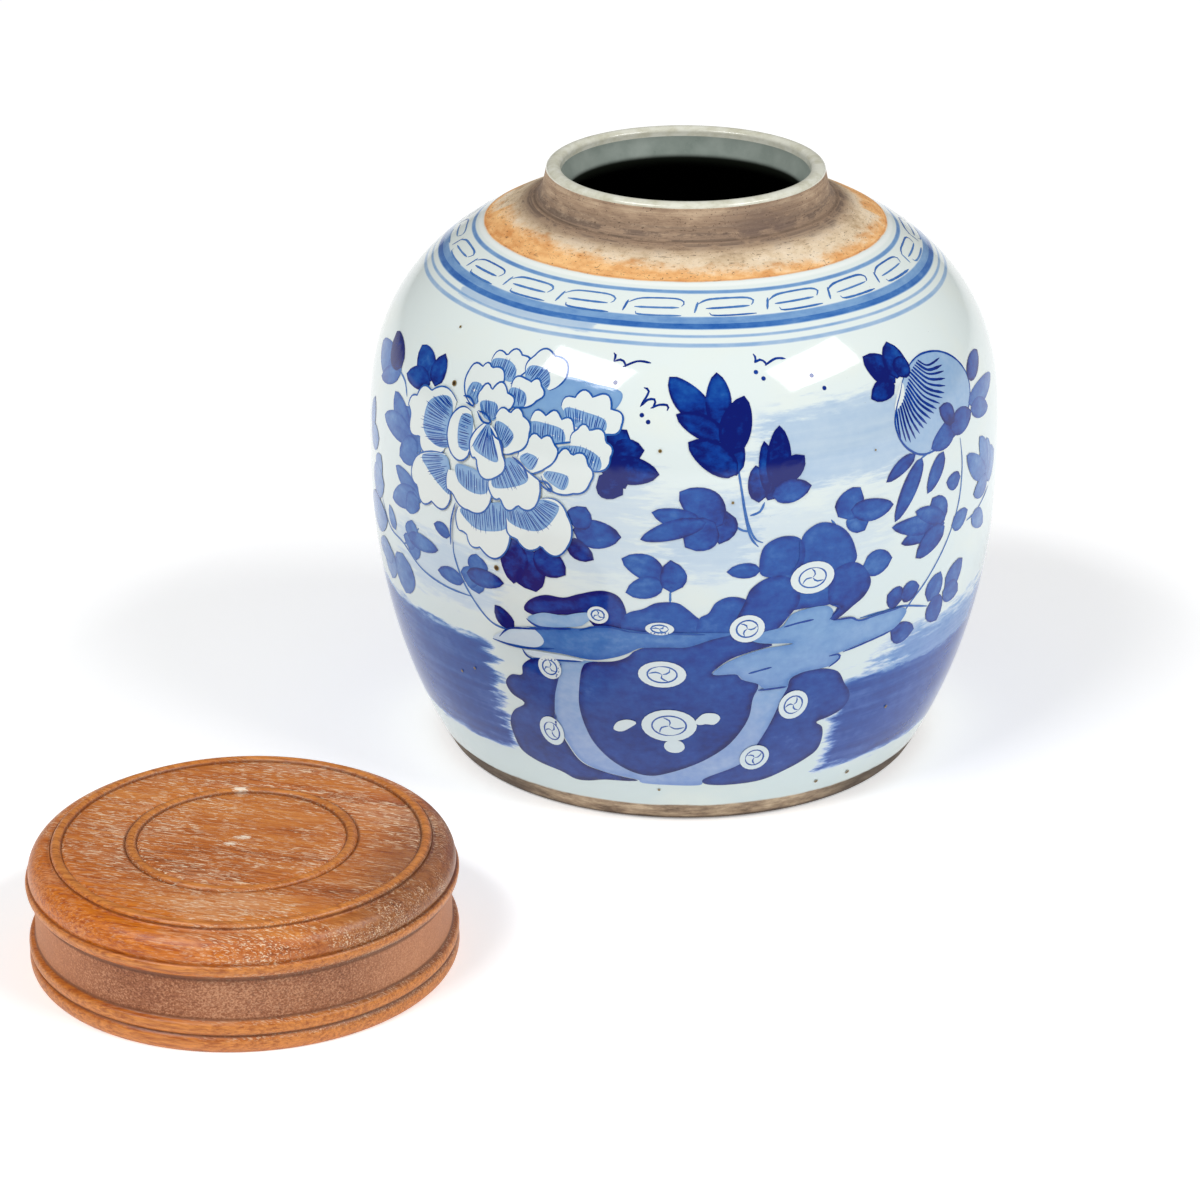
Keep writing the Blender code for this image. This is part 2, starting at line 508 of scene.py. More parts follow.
def clayColour(surface, turn, rise, wander, turned, grime):
    # the clay that the glaze leaves bare, round the neck and round the foot
    def overGlaze(height, band):
        middle, halfWidth, soft = bareClay[band]
        return height.near(glazeTop + middle, halfWidth, soft)

    specks = surface.cloud(*bareClay["specks"])
    scratches = surface.cloud(*bareClay["scratches"])
    straying = grime - 0.5
    colour = surface.ramp(turned * 0.5 + grime * 0.5, bareClay["neck"])
    paleFrom, paleTo = bareClay["paleShoulder"]
    pale = surface.ramp(grime, bareClay["shoulder"])
    colour = surface.mix(rise.between(glazeTop + paleFrom, glazeTop + paleTo), colour, pale)
    flashFrom, flashTo = bareClay["flashReach"]
    further = turn.between(30, -50) * 5.0  # the left side's flash reaches further up
    flashed = (rise + straying * 14.0 - further).between(glazeTop + flashFrom, glazeTop + flashTo)
    colour = surface.cover(colour, flashed, bareClay["flashed"], grime)
    colour = surface.cover(colour, overGlaze(rise + wander * 0.3, "scorchedBand"), bareClay["scorched"])
    smoky = overGlaze(rise + straying * 14.0, "smokyBand") * grime.between(0.36, 0.52)
    colour = surface.cover(colour, smoky * turned.between(0.3, 0.6), bareClay["smoky"])
    smudged = turn.near(*bareClay["smudgedTurn"]) * overGlaze(rise + straying * 10.0, "smudgedBand")
    colour = surface.cover(colour, smudged * grime.between(0.34, 0.56), bareClay["smudged"])
    seam = overGlaze(rise + wander * 0.4, "seamBand") * grime.between(0.3, 0.6)
    colour = surface.cover(colour, seam, bareClay["seam"])
    colour = surface.cover(colour, specks.between(0.62, 0.66), bareClay["speck"])
    colour = surface.cover(colour, scratches.between(0.63, 0.68), bareClay["scratch"])
    foot = surface.ramp(grime, bareClay["foot"])
    # painted shade darkens the foot's sides, and painted light keeps its front paler
    footSideShade = surface.cover(foot, 1.0, bareClay["footSideShade"])
    foot = surface.mix(turn.near(*bareClay["litFootFront"]), footSideShade, foot)
    colour = surface.mix(rise.between(*bareClay["footHeight"]), colour, foot)
    # painted contact shade along the very bottom of the foot
    return surface.cover(colour, rise.between(*bareClay["contactShadeHeight"]), bareClay["footContactShade"])


def jarSkin():
    surface = Surface("jarSkin")
    turn, rise = surface.turnAndRise()
    ragged = surface.cloud(*skin["ragged"])
    wander = (surface.cloud(*skin["wander"]) - 0.5) * skin["wandering"]
    turned = surface.cloud(*bareClay["turned"])
    grime = surface.cloud(*bareClay["grime"])
    relief, pits = glazeRelief(surface)
    glaze = glazeColour(surface, turn, rise, ragged, wander, pits)
    clay = clayColour(surface, turn, rise, wander, turned, grime)
    edge = (ragged - 0.5) * 1.6
    lowEdge = (rise + edge).between(skin["footBand"] - 0.5, skin["footBand"] + 0.5)
    highEdge = (rise + edge * 0.6).between(glazeTop + 0.2, glazeTop - 0.5)
    glazed = lowEdge * highEdge
    surface.set("Base Color", surface.mix(glazed, clay, glaze))
    dull = skin["clayRoughness"]
    surface.set("Roughness", dull - glazed * (dull - glassy["smooth"]) + pits * glassy["pitted"])
    surface.set("IOR", glassy["refraction"])
    height = relief * glazed + (turned * 0.25 + grime * 0.2) * (1.0 - glazed)
    surface.set("Normal", surface.bump(height, glassy["relief"], 1.0))
    return surface.material


jarInside = {
    "lipStains": ((0.15, 0.15, 0.3), 4.0, 0.7),
    "lip": [(0.3, (196, 194, 172)), (0.6, (222, 222, 208))],
    "stains": ((0.08, 0.08, 0.08), 4.0, 0.6),
    "throat": [(0.3, (128, 140, 132)), (0.7, (158, 168, 160))],
    "shade": (26, 30, 24),
    "shadeFrom": (188.8, 187.2),    # light down to here, and dark below here, mm up
}


def lipGlaze():
    # the thin greenish glaze that wraps the lip, stained along its outer edge
    surface = Surface("lipGlaze")
    stains = surface.cloud(*jarInside["lipStains"])
    surface.set("Base Color", surface.ramp(stains, jarInside["lip"]))
    surface.set("Roughness", 0.12 + stains * 0.15)
    return surface.material


def insideGlaze():
    # grey-green in the neck, in deep shade below it
    surface = Surface("insideGlaze")
    height = surface.axis("Z") / mm
    stains = surface.cloud(*jarInside["stains"])
    throat = surface.ramp(stains, jarInside["throat"])
    light, dark = jarInside["shadeFrom"]
    surface.set("Base Color", surface.mix(height.between(dark, light), paint(*jarInside["shade"]), throat))
    surface.set("Roughness", 0.2 + stains * 0.2)
    return surface.material


def makeJar():
    profile, wallFrom, lipFrom, insideFrom = jarProfile()
    rises = [wallStart + length for length in lengthsAlong(profile[wallFrom:])]
    below = [0.0] * wallFrom
    # the skin's rings of faces, then the lip's, then the inside's
    slots = [0] * (lipFrom - 1) + [1] * (insideFrom - lipFrom + 1) + [2] * (len(profile) - insideFrom)
    materials = [jarSkin(), lipGlaze(), insideGlaze()]
    jar = lathe("jar", profile, below + rises, slots, jarShape["steps"], jarPlace, materials)
    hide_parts("jar_body")
    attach(jar, "jar")


makeJar()
print("jar turned")


# brushwork

farFromEdge = 5.0  # a line is all one tone, with no darker rim


class Brushwork:
    # brush marks gathered into one thin skin just proud of the glaze
    # a place is (degrees round the jar from its front, mm up the wall)
    def __init__(self, name, lift=0.05):
        self.name = name
        self.lift = lift
        self.corners = []
        self.faces = []
        self.tones = []
        self.edges = []

    def corner(self, place, tone, fromEdge):
        self.corners.append((*place, self.lift))
        self.tones.append(tone)
        self.edges.append(fromEdge)
        return len(self.corners) - 1

    def raised(self, step=0.015):
        self.lift += step

    def stroke(self, places, width, tone, tip=0.35, tail=0.35):
        # a line of the brush along smooth places, thinner at its two ends
        flat, scale = flattened(places)
        line = resampled(smoothed(flat), 1.1)
        last = len(line) - 1
        previous = None
        for index, point in enumerate(line):
            along = (line[min(index + 1, last)] - line[max(index - 1, 0)]).normalized()
            side = Vector((-along.y, along.x))
            share = index / last
            full = min(1, tip + share * 5, tail + (1 - share) * 5) * dice.uniform(0.85, 1.1)
            half = side * width / 2 * full
            pair = [self.corner(unflattened(point + offset, scale), tone, farFromEdge)
                    for offset in (half, -half)]
            if previous:
                self.faces.append((previous[0], previous[1], pair[1], pair[0]))
            previous = pair

    def patch(self, outline, tone, spacing=2.0):
        # a closed painted area; outline holds flat places already close together
        flat, scale = flattened(outline)
        low = Vector((min(point.x for point in flat), min(point.y for point in flat)))
        high = Vector((max(point.x for point in flat), max(point.y for point in flat)))
        points = list(flat)
        for step in (0.5, 1.2):
            points += insetPoints(flat, step)
        columns = int((high.x - low.x) / spacing)
        rows = int((high.y - low.y) / spacing)
        for row in range(rows):
            for column in range(columns):
                point = low + Vector((column + 0.5 + (row % 2) / 2, row + 0.5)) * spacing
                if holds(flat, point) and gap(flat, point) > 1.5:
                    points.append(point)
        edges = [(index, (index + 1) % len(flat)) for index in range(len(flat))]
        made, _, faces, _, _, _ = delaunay_2d_cdt(points, edges, [], 1, 1e-5)
        corners = [self.corner(unflattened(point, scale), tone, gap(flat, point)) for point in made]
        for face in faces:
            self.faces.append(tuple(corners[index] for index in face))

    def leaf(self, base, tip, width, tone, lean=0.0):
        # one leaflet from its stem end to its point
        flat, scale = flattened([base, tip])
        start, end = flat
        along = end - start
        side = Vector((-along.y, along.x)).normalized()
        rows = max(6, int(along.length / 1.6))
        previous = None
        for row in range(rows + 1):
            share = row / rows
            full = (math.sin(math.pi * share ** 0.85) ** 0.6) * width / 2
            middle = start + along * share + side * lean * width * math.sin(math.pi * share)
            wetter = tone * (1 + 0.05 * math.sin(2.6 * math.pi * share))
            columns = []
            for across in (-1, -0.75, -0.35, 0, 0.35, 0.75, 1):
                point = middle + side * across * full
                shade = wetter - (0.05 if across == -0.35 else 0)  # one paler vein
                columns.append(self.corner(unflattened(point, scale), shade, (1 - abs(across)) * full))
            if previous:
                for left in range(6):
                    self.faces.append((previous[left], previous[left + 1], columns[left + 1], columns[left]))
            previous = columns

    def dot(self, place, size, tone):
        turns = [turn / 4 * math.pi for turn in range(8)]
        ring = [(size * math.cos(turn), size * math.sin(turn)) for turn in turns]
        flat, scale = flattened([place])
        middle = self.corner(place, tone, size)
        rim = [self.corner(unflattened(flat[0] + Vector(offset), scale), tone, 0) for offset in ring]
        for index in range(8):
            self.faces.append((middle, rim[index], rim[(index + 1) % 8]))

    def finished(self, material, shifts=(0, 180)):
        # the same work on the front and on the back of the jar
        points = []
        normals = []
        rises = []
        faces = []
        for shift in shifts:
            first = len(points)
            for turn, rise, lift in self.corners:
                radius, height, out, up = smoothWallAt(rise)
                across = math.radians(turn + shift)
                ahead = Vector((math.sin(across), -math.cos(across), 0))
                normal = ahead * out + Vector((0, 0, up))
                normal.normalize()
                points.append((ahead * radius + Vector((0, 0, height)) + normal * lift) * mm)
                normals.append(normal)
                rises.append(rise)
            faces += [tuple(first + index for index in face) for face in self.faces]
        for index, face in enumerate(faces):
            facing = Vector()
            for first, second in zip(face, face[1:] + face[:1]):
                facing += (points[first] - points[face[0]]).cross(points[second] - points[face[0]])
            if facing.dot(normals[face[0]]) < 0:
                faces[index] = face[::-1]
        mesh = bpy.data.meshes.new(self.name)
        mesh.from_pydata(points, [], faces)
        kept = {"rise": rises, "tone": self.tones * len(shifts), "fromEdge": self.edges * len(shifts)}
        for name, values in kept.items():
            mesh.attributes.new(name, "FLOAT", "POINT").data.foreach_set("value", values)
        mesh.materials.append(material)
        mesh.shade_smooth()
        mesh.normals_split_custom_set_from_vertices(normals)
        piece = bpy.data.objects.new(self.name, mesh)
        piece.location = jarPlace
        bpy.context.scene.collection.objects.link(piece)
        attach(piece, "jar")
        print(self.name, "painted,", len(faces), "faces")


def flattened(places):
    # places in mm, as if the wall were rolled out flat round their own middle height
    middle = sum(rise for _, rise in places) / len(places)
    scale = math.radians(wallAt(middle)[0])
    return [Vector((turn * scale, rise)) for turn, rise in places], scale


def unflattened(point, scale):
    return point.x / scale, point.y


def smoothed(points, closed=False, steps=8):
    # a smooth line through the points
    count = len(points)
    if count < 3:
        return list(points)
    line = []
    for index in range(count if closed else count - 1):
        if closed:
            a, b, c, d = (points[(index + shift) % count] for shift in (-1, 0, 1, 2))
        else:
            a, b, c, d = (points[min(max(index + shift, 0), count - 1)] for shift in (-1, 0, 1, 2))
        for step in range(steps):
            t = step / steps
            line.append(0.5 * (2 * b + (c - a) * t + (2 * a - 5 * b + 4 * c - d) * t * t
                               + (3 * b - a - 3 * c + d) * t * t * t))
    if not closed:
        line.append(points[-1])
    return line


def resampled(line, spacing):
    lengths = [0]
    for first, second in zip(line, line[1:]):
        lengths.append(lengths[-1] + (second - first).length)
    count = max(2, round(lengths[-1] / spacing))
    found = []
    index = 0
    for step in range(count + 1):
        wanted = lengths[-1] * step / count
        while index < len(line) - 2 and lengths[index + 1] < wanted:
            index += 1
        length = lengths[index + 1] - lengths[index]
        share = (wanted - lengths[index]) / length if length else 0
        found.append(line[index].lerp(line[index + 1], min(share, 1)))
    return found


def holds(outline, point):
    # whether a closed outline goes round the point
    inside = False
    for first, second in zip(outline, outline[1:] + outline[:1]):
        if (first.y > point.y) != (second.y > point.y):
            crossing = first.x + (point.y - first.y) / (second.y - first.y) * (second.x - first.x)
            if point.x < crossing:
                inside = not inside
    return inside


def gap(outline, point):
    # how far the point is from the outline
    nearest = 1e9
    for first, second in zip(outline, outline[1:] + outline[:1]):
        along = second - first
        share = max(0, min(1, (point - first).dot(along) / max(along.length_squared, 1e-12)))
        nearest = min(nearest, (first + along * share - point).length)
    return nearest


def insetPoints(outline, step):
    # points a little way in from the outline, where there is room
    found = []
    for index, point in enumerate(outline):
        along = outline[(index + 1) % len(outline)] - outline[index - 1]
        side = Vector((-along.y, along.x)).normalized() * step
        for candidate in (point + side, point - side):
            if holds(outline, candidate) and gap(outline, candidate) > step * 0.9:
                found.append(candidate)
    return found


def closedLine(places, spacing=1.0):
    # a smooth closed outline through the places
    flat, scale = flattened(places)
    line = smoothed(flat, closed=True)
    return [unflattened(point, scale) for point in resampled(line + line[:1], spacing)[:-1]]


def lobedLine(corners, spacing=0.8):
    # arcs from corner to corner; each corner is (turn, rise, bulge of the arc that reaches it)
    flat, scale = flattened([corner[:2] for corner in corners])
    line = [flat[0]]
    for start, end, (_, _, bulge) in zip(flat, flat[1:], corners[1:]):
        across = end - start
        side = Vector((across.y, -across.x)) * -1
        pieces = max(2, round(across.length * (1 + abs(bulge)) / spacing))
        for step in range(1, pieces + 1):
            share = step / pieces
            line.append(start + across * share + side * bulge * 4 * share * (1 - share))
    return [unflattened(point, scale) for point in line]


# how much darker the blue pools at a mark's edge, how far in (mm), and how mottled it is
cobaltLine = paintedGlaze("cobaltLine", 0.0, 1.0, 0.3)
cobaltWash = paintedGlaze("cobaltWash", 0.16, 1.0, 0.3)
cobaltLeaf = paintedGlaze("cobaltLeaf", 0.16, 1.4, 0.5)
cobaltRock = paintedGlaze("cobaltRock", 0.2, 2.6, 0.4)


# peony

# Each petal: the free edge as arcs from notch to notch (turn, rise, bulge), then the foot and the tips
# of its comb of fine strokes. They are painted from the back one to the front one.
peony = {
    "outlineWidth": 0.62,
    "outlineTone": 0.68,
    "combSpacing": 0.85,
    "combWidth": 0.34,
    "combTone": 0.8,
    "combWash": 0.34,
    "curlWidth": 0.7,
    "curlTone": 0.75,
    "backTone": 0.36,
    "petals": [
        {"edge": [(-40, 160.3, 0), (-36.8, 163.3, 0.45), (-33.4, 164.5, 0.4), (-31, 160.5, 0.35),
                  (-34, 155, 0)],
         "foot": [(-39.2, 157.5), (-34, 155.5)], "tips": [(-39.6, 161.2), (-36, 162), (-33.6, 159.5)]},
        {"edge": [(-31.5, 159.5, 0), (-30.8, 165, 0.2), (-26.4, 166.4, 0.35), (-22.8, 160, 0.3),
                  (-25.6, 155.4, 0.1)],
         "foot": [(-31.2, 158), (-27, 155.5)], "tips": [(-30.8, 162), (-27, 161.5), (-25.8, 157.5)]},
        {"edge": [(-41, 145.2, 0), (-44.2, 150, 0.12), (-44.4, 155.3, 0.1), (-41.5, 157.8, 0.35),
                  (-39.2, 158.3, 0.4), (-35.5, 155, 0.35), (-36, 149, 0)],
         "foot": [(-43.2, 148), (-40.3, 146)], "tips": [(-42.6, 152.3), (-40, 152)]},
        {"edge": [(-33.6, 154, 0), (-31, 157.6, 0.4), (-29.7, 157, 0.05), (-27.4, 156.4, 0.45),
                  (-27.6, 151.7, 0.4), (-29.8, 148.8, 0.1), (-33, 148, 0)],
         "foot": [(-33.2, 148.5), (-30, 149)], "tips": [(-33.8, 153.6), (-31.5, 154), (-30, 152.5)]},
        {"edge": [(-40, 147, 0), (-40, 151, 0.2), (-37.6, 151.7, 0.5), (-34, 152, 0.5), (-32.6, 147.5, 0.4),
                  (-36, 143, 0)],
         "foot": [(-38, 142.8), (-35.5, 143)], "tips": [(-39.6, 147), (-37.5, 148.3), (-35.5, 147.5)]},
        {"edge": [(-22.6, 151.2, 0), (-20.3, 154.4, 0.35), (-16.8, 155.2, 0.4), (-13.1, 152, 0.45),
                  (-11, 147.4, 0.35), (-13, 144.4, 0.25), (-19, 143, 0)],
         "foot": [(-21, 146.5), (-14.6, 144.5)], "tips": [(-21.8, 151), (-18, 150.5), (-14, 148.6)]},
        {"edge": [(-28.2, 145.5, 0), (-25.2, 147.6, 0.45), (-22.2, 147.2, 0.45), (-19.6, 145.2, 0.4),
                  (-19.5, 141, 0.1), (-24, 139, 0)],
         "foot": [(-27.6, 140.8), (-21.5, 140)], "tips": [(-28, 145), (-24.5, 145.2), (-21.6, 144)]},
        {"edge": [(-20, 140.5, 0), (-19, 144.8, 0.2), (-16.6, 145, 0.45), (-13.6, 142, 0.4),
                  (-12.6, 137.5, 0.3), (-15.2, 132.6, 0.25), (-20, 134, 0)],
         "foot": [(-22.4, 136), (-15, 132.8)], "tips": [(-22, 138.8), (-18, 139.8), (-14.5, 137)]},
        {"edge": [(-23.4, 133.5, 0), (-22, 136.6, 0.15), (-19.5, 136.8, 0.45), (-16.5, 134.4, 0.4),
                  (-16, 129, 0.25), (-19, 124.8, 0.2), (-22.6, 124.4, 0.1), (-25, 129, 0.1)],
         "foot": [(-24.4, 128.6), (-20.8, 125.4)], "tips": [(-23.8, 130.8), (-20, 130)]},
        {"edge": [(-29.8, 133.4, 0), (-28, 139.6, 0.1), (-25.6, 140.4, 0.4), (-23, 139.4, 0.4),
                  (-22.2, 136, 0.2), (-24.2, 131.6, 0.1), (-28.4, 128.8, 0.1)],
         "foot": [(-29.4, 133), (-27, 130)], "tips": [(-28, 135.2), (-25.8, 134)]},
        {"edge": [(-35.4, 144.4, 0), (-32.5, 146.2, 0.4), (-29.6, 146, 0.45), (-28, 141, 0.25),
                  (-30.4, 134.6, 0.2), (-33.4, 133.4, 0.1)],
         "foot": [(-34.8, 138), (-32.6, 135.2)], "tips": [(-35.2, 142.6), (-33, 142.4), (-31, 139.5)]},
        {"edge": [(-45, 145, 0), (-52.4, 145, -0.22), (-56.4, 141.4, -0.3), (-58.6, 137.2, -0.25),
                  (-57.2, 134.6, 0.1), (-53.6, 129.6, -0.45), (-50.4, 125.2, -0.3), (-46.4, 128.6, -0.1)],
         "foot": [(-45.8, 143.5), (-45.6, 136), (-45.2, 130.5)],
         "tips": [(-48, 145.6), (-52.2, 142), (-53, 136), (-52.2, 131.5), (-48.6, 129)]},
        {"edge": [(-46, 127.6, 0), (-52.6, 124.6, -0.05), (-55.8, 117, -0.12), (-53.8, 112.8, -0.25),
                  (-49.5, 110, -0.45), (-44.4, 113.4, -0.3), (-44.4, 120, 0)],
         "foot": [(-45.6, 127), (-44.4, 117.5)], "tips": [(-52.4, 124), (-50, 119.5), (-45, 114.8)]},
        {"edge": [(-42.4, 112, 0), (-42.4, 104, -0.15), (-40.4, 103.4, 0.1), (-37.4, 100.6, -0.35),
                  (-31.8, 101.6, -0.3), (-31.4, 112, -0.12)],
         "foot": [(-41.6, 112), (-35, 116.6), (-31.8, 117)], "tips": [(-41, 109), (-37.4, 106.4),
                                                                      (-31.6, 109.5)]},
        {"edge": [(-24.6, 121.8, 0), (-19.9, 117.5, 0.25), (-19.9, 107, 0.15), (-24.8, 106, 0.35),
                  (-29.6, 106.8, 0.3), (-31.6, 111, 0.3), (-32, 117, 0)],
         "foot": [(-31.4, 117), (-27.5, 117.5), (-25, 121.4)],
         "tips": [(-31.2, 112), (-27, 110.4), (-23.8, 112.5), (-21.4, 120)]},
        {"edge": [(-45, 123, 0), (-45.2, 116.4, -0.1), (-43.4, 115, 0.1), (-40, 111.9, -0.15),
                  (-35.2, 116, -0.2), (-35.2, 125, -0.1)],
         "foot": [(-42.8, 126), (-36, 125)], "tips": [(-42.4, 120.5), (-39, 118.2), (-35.8, 119.6)]},
        {"edge": [(-34.8, 126, 0), (-34.9, 119.6, -0.2), (-32.9, 119, -0.3), (-29.3, 118, -0.45),
                  (-25.8, 119, -0.25), (-25.2, 127.4, -0.1), (-30, 132, 0)],
         "foot": [(-34.6, 126), (-32.4, 131.6), (-30.4, 132.4)], "tips": [(-34.4, 122), (-30.6, 123.4),
                                                                          (-27.4, 127)]},
        {"edge": [(-41, 143.6, 0), (-44.6, 142.4, -0.2), (-45.9, 137, -0.1), (-44.4, 128.6, -0.12),
                  (-40.4, 129.4, -0.25), (-39, 137, 0)],
         "foot": [(-40.2, 141.5), (-40.2, 132)], "tips": [(-42.8, 142), (-43.4, 137), (-42.6, 131.5)]},
        {"edge": [(-37.4, 141.4, 0), (-40.2, 135, -0.08), (-39.4, 129.6, -0.1), (-38.4, 129.6, 0.1),
                  (-33.4, 126, -0.42), (-32.8, 133, -0.25), (-35.6, 141, -0.08)],
         "foot": [(-37, 141), (-36, 140.4)], "tips": [(-39.4, 133.6), (-37, 131), (-33.6, 130.8)]},
    ],
    "curls": [
        [(-39.6, 144.2), (-38, 141.6), (-36.2, 141.8), (-37.4, 144), (-39.4, 144.4)],
        [(-36, 140.4), (-34.8, 138), (-33.4, 137), (-32.8, 134)],
        [(-43.6, 147.4), (-41.8, 147.6), (-40.6, 145.4), (-42.6, 145.8)],
        [(-30.8, 133.2), (-28.6, 131), (-27.4, 127.4)],
        [(-25.4, 127.4), (-24.4, 125.6), (-22.8, 124.6), (-23.6, 127), (-25.4, 127.4)],
        [(-43, 113), (-44.2, 106), (-44.4, 98)],
    ],
    "backWash": [(-31, 147), (-28, 153), (-26, 157), (-22.5, 160.5), (-17, 159.5), (-11.5, 157.5),
                 (-13, 151), (-19, 145), (-26, 144)],
}


def halfway(first, second, share):
    return first[0] + (second[0] - first[0]) * share, first[1] + (second[1] - first[1]) * share


def comb(work, foot, tips, tone):
    # fine strokes that fan from the foot line to the tips line
    footFlat, footScale = flattened(foot)
    tipFlat, tipScale = flattened(tips)
    footLine = resampled(smoothed(footFlat), 0.5)
    tipLine = resampled(smoothed(tipFlat), 0.5)
    length = sum((second - first).length for first, second in zip(tipLine, tipLine[1:]))
    count = max(4, round(length / peony["combSpacing"]))
    for index in range(count + 1):
        share = min(1, max(0, (index + dice.uniform(-0.2, 0.2)) / count))
        start = unflattened(footLine[round(share * (len(footLine) - 1))], footScale)
        end = unflattened(tipLine[round(share * (len(tipLine) - 1))], tipScale)
        reach = dice.uniform(0.9, 1.14)
        early = dice.uniform(0, 0.3)
        places = [halfway(start, end, part) for part in (early, (early + reach) / 2, reach)]
        width = peony["combWidth"] * dice.uniform(0.7, 1.2)
        work.stroke(places, width, tone * dice.uniform(0.8, 1.15), 0.5, 0.2)


def paintPeony():
    work = Brushwork("peony")
    work.patch(closedLine(peony["backWash"]), peony["backTone"])
    for petal in peony["petals"]:
        work.raised()
        edge = lobedLine(petal["edge"])
        work.patch(edge, 0.0)
        work.raised(0.006)
        ring = petal["foot"] + petal["tips"][::-1]
        work.patch(closedLine(ring), peony["combWash"])
        work.raised(0.006)
        comb(work, petal["foot"], petal["tips"], peony["combTone"])
        work.raised(0.004)
        work.stroke(edge, peony["outlineWidth"], peony["outlineTone"])
    work.raised()
    for curl in peony["curls"]:
        work.stroke(curl, peony["curlWidth"], peony["curlTone"])
    work.finished(cobaltWash)


paintPeony()


# leaves, buds and stems

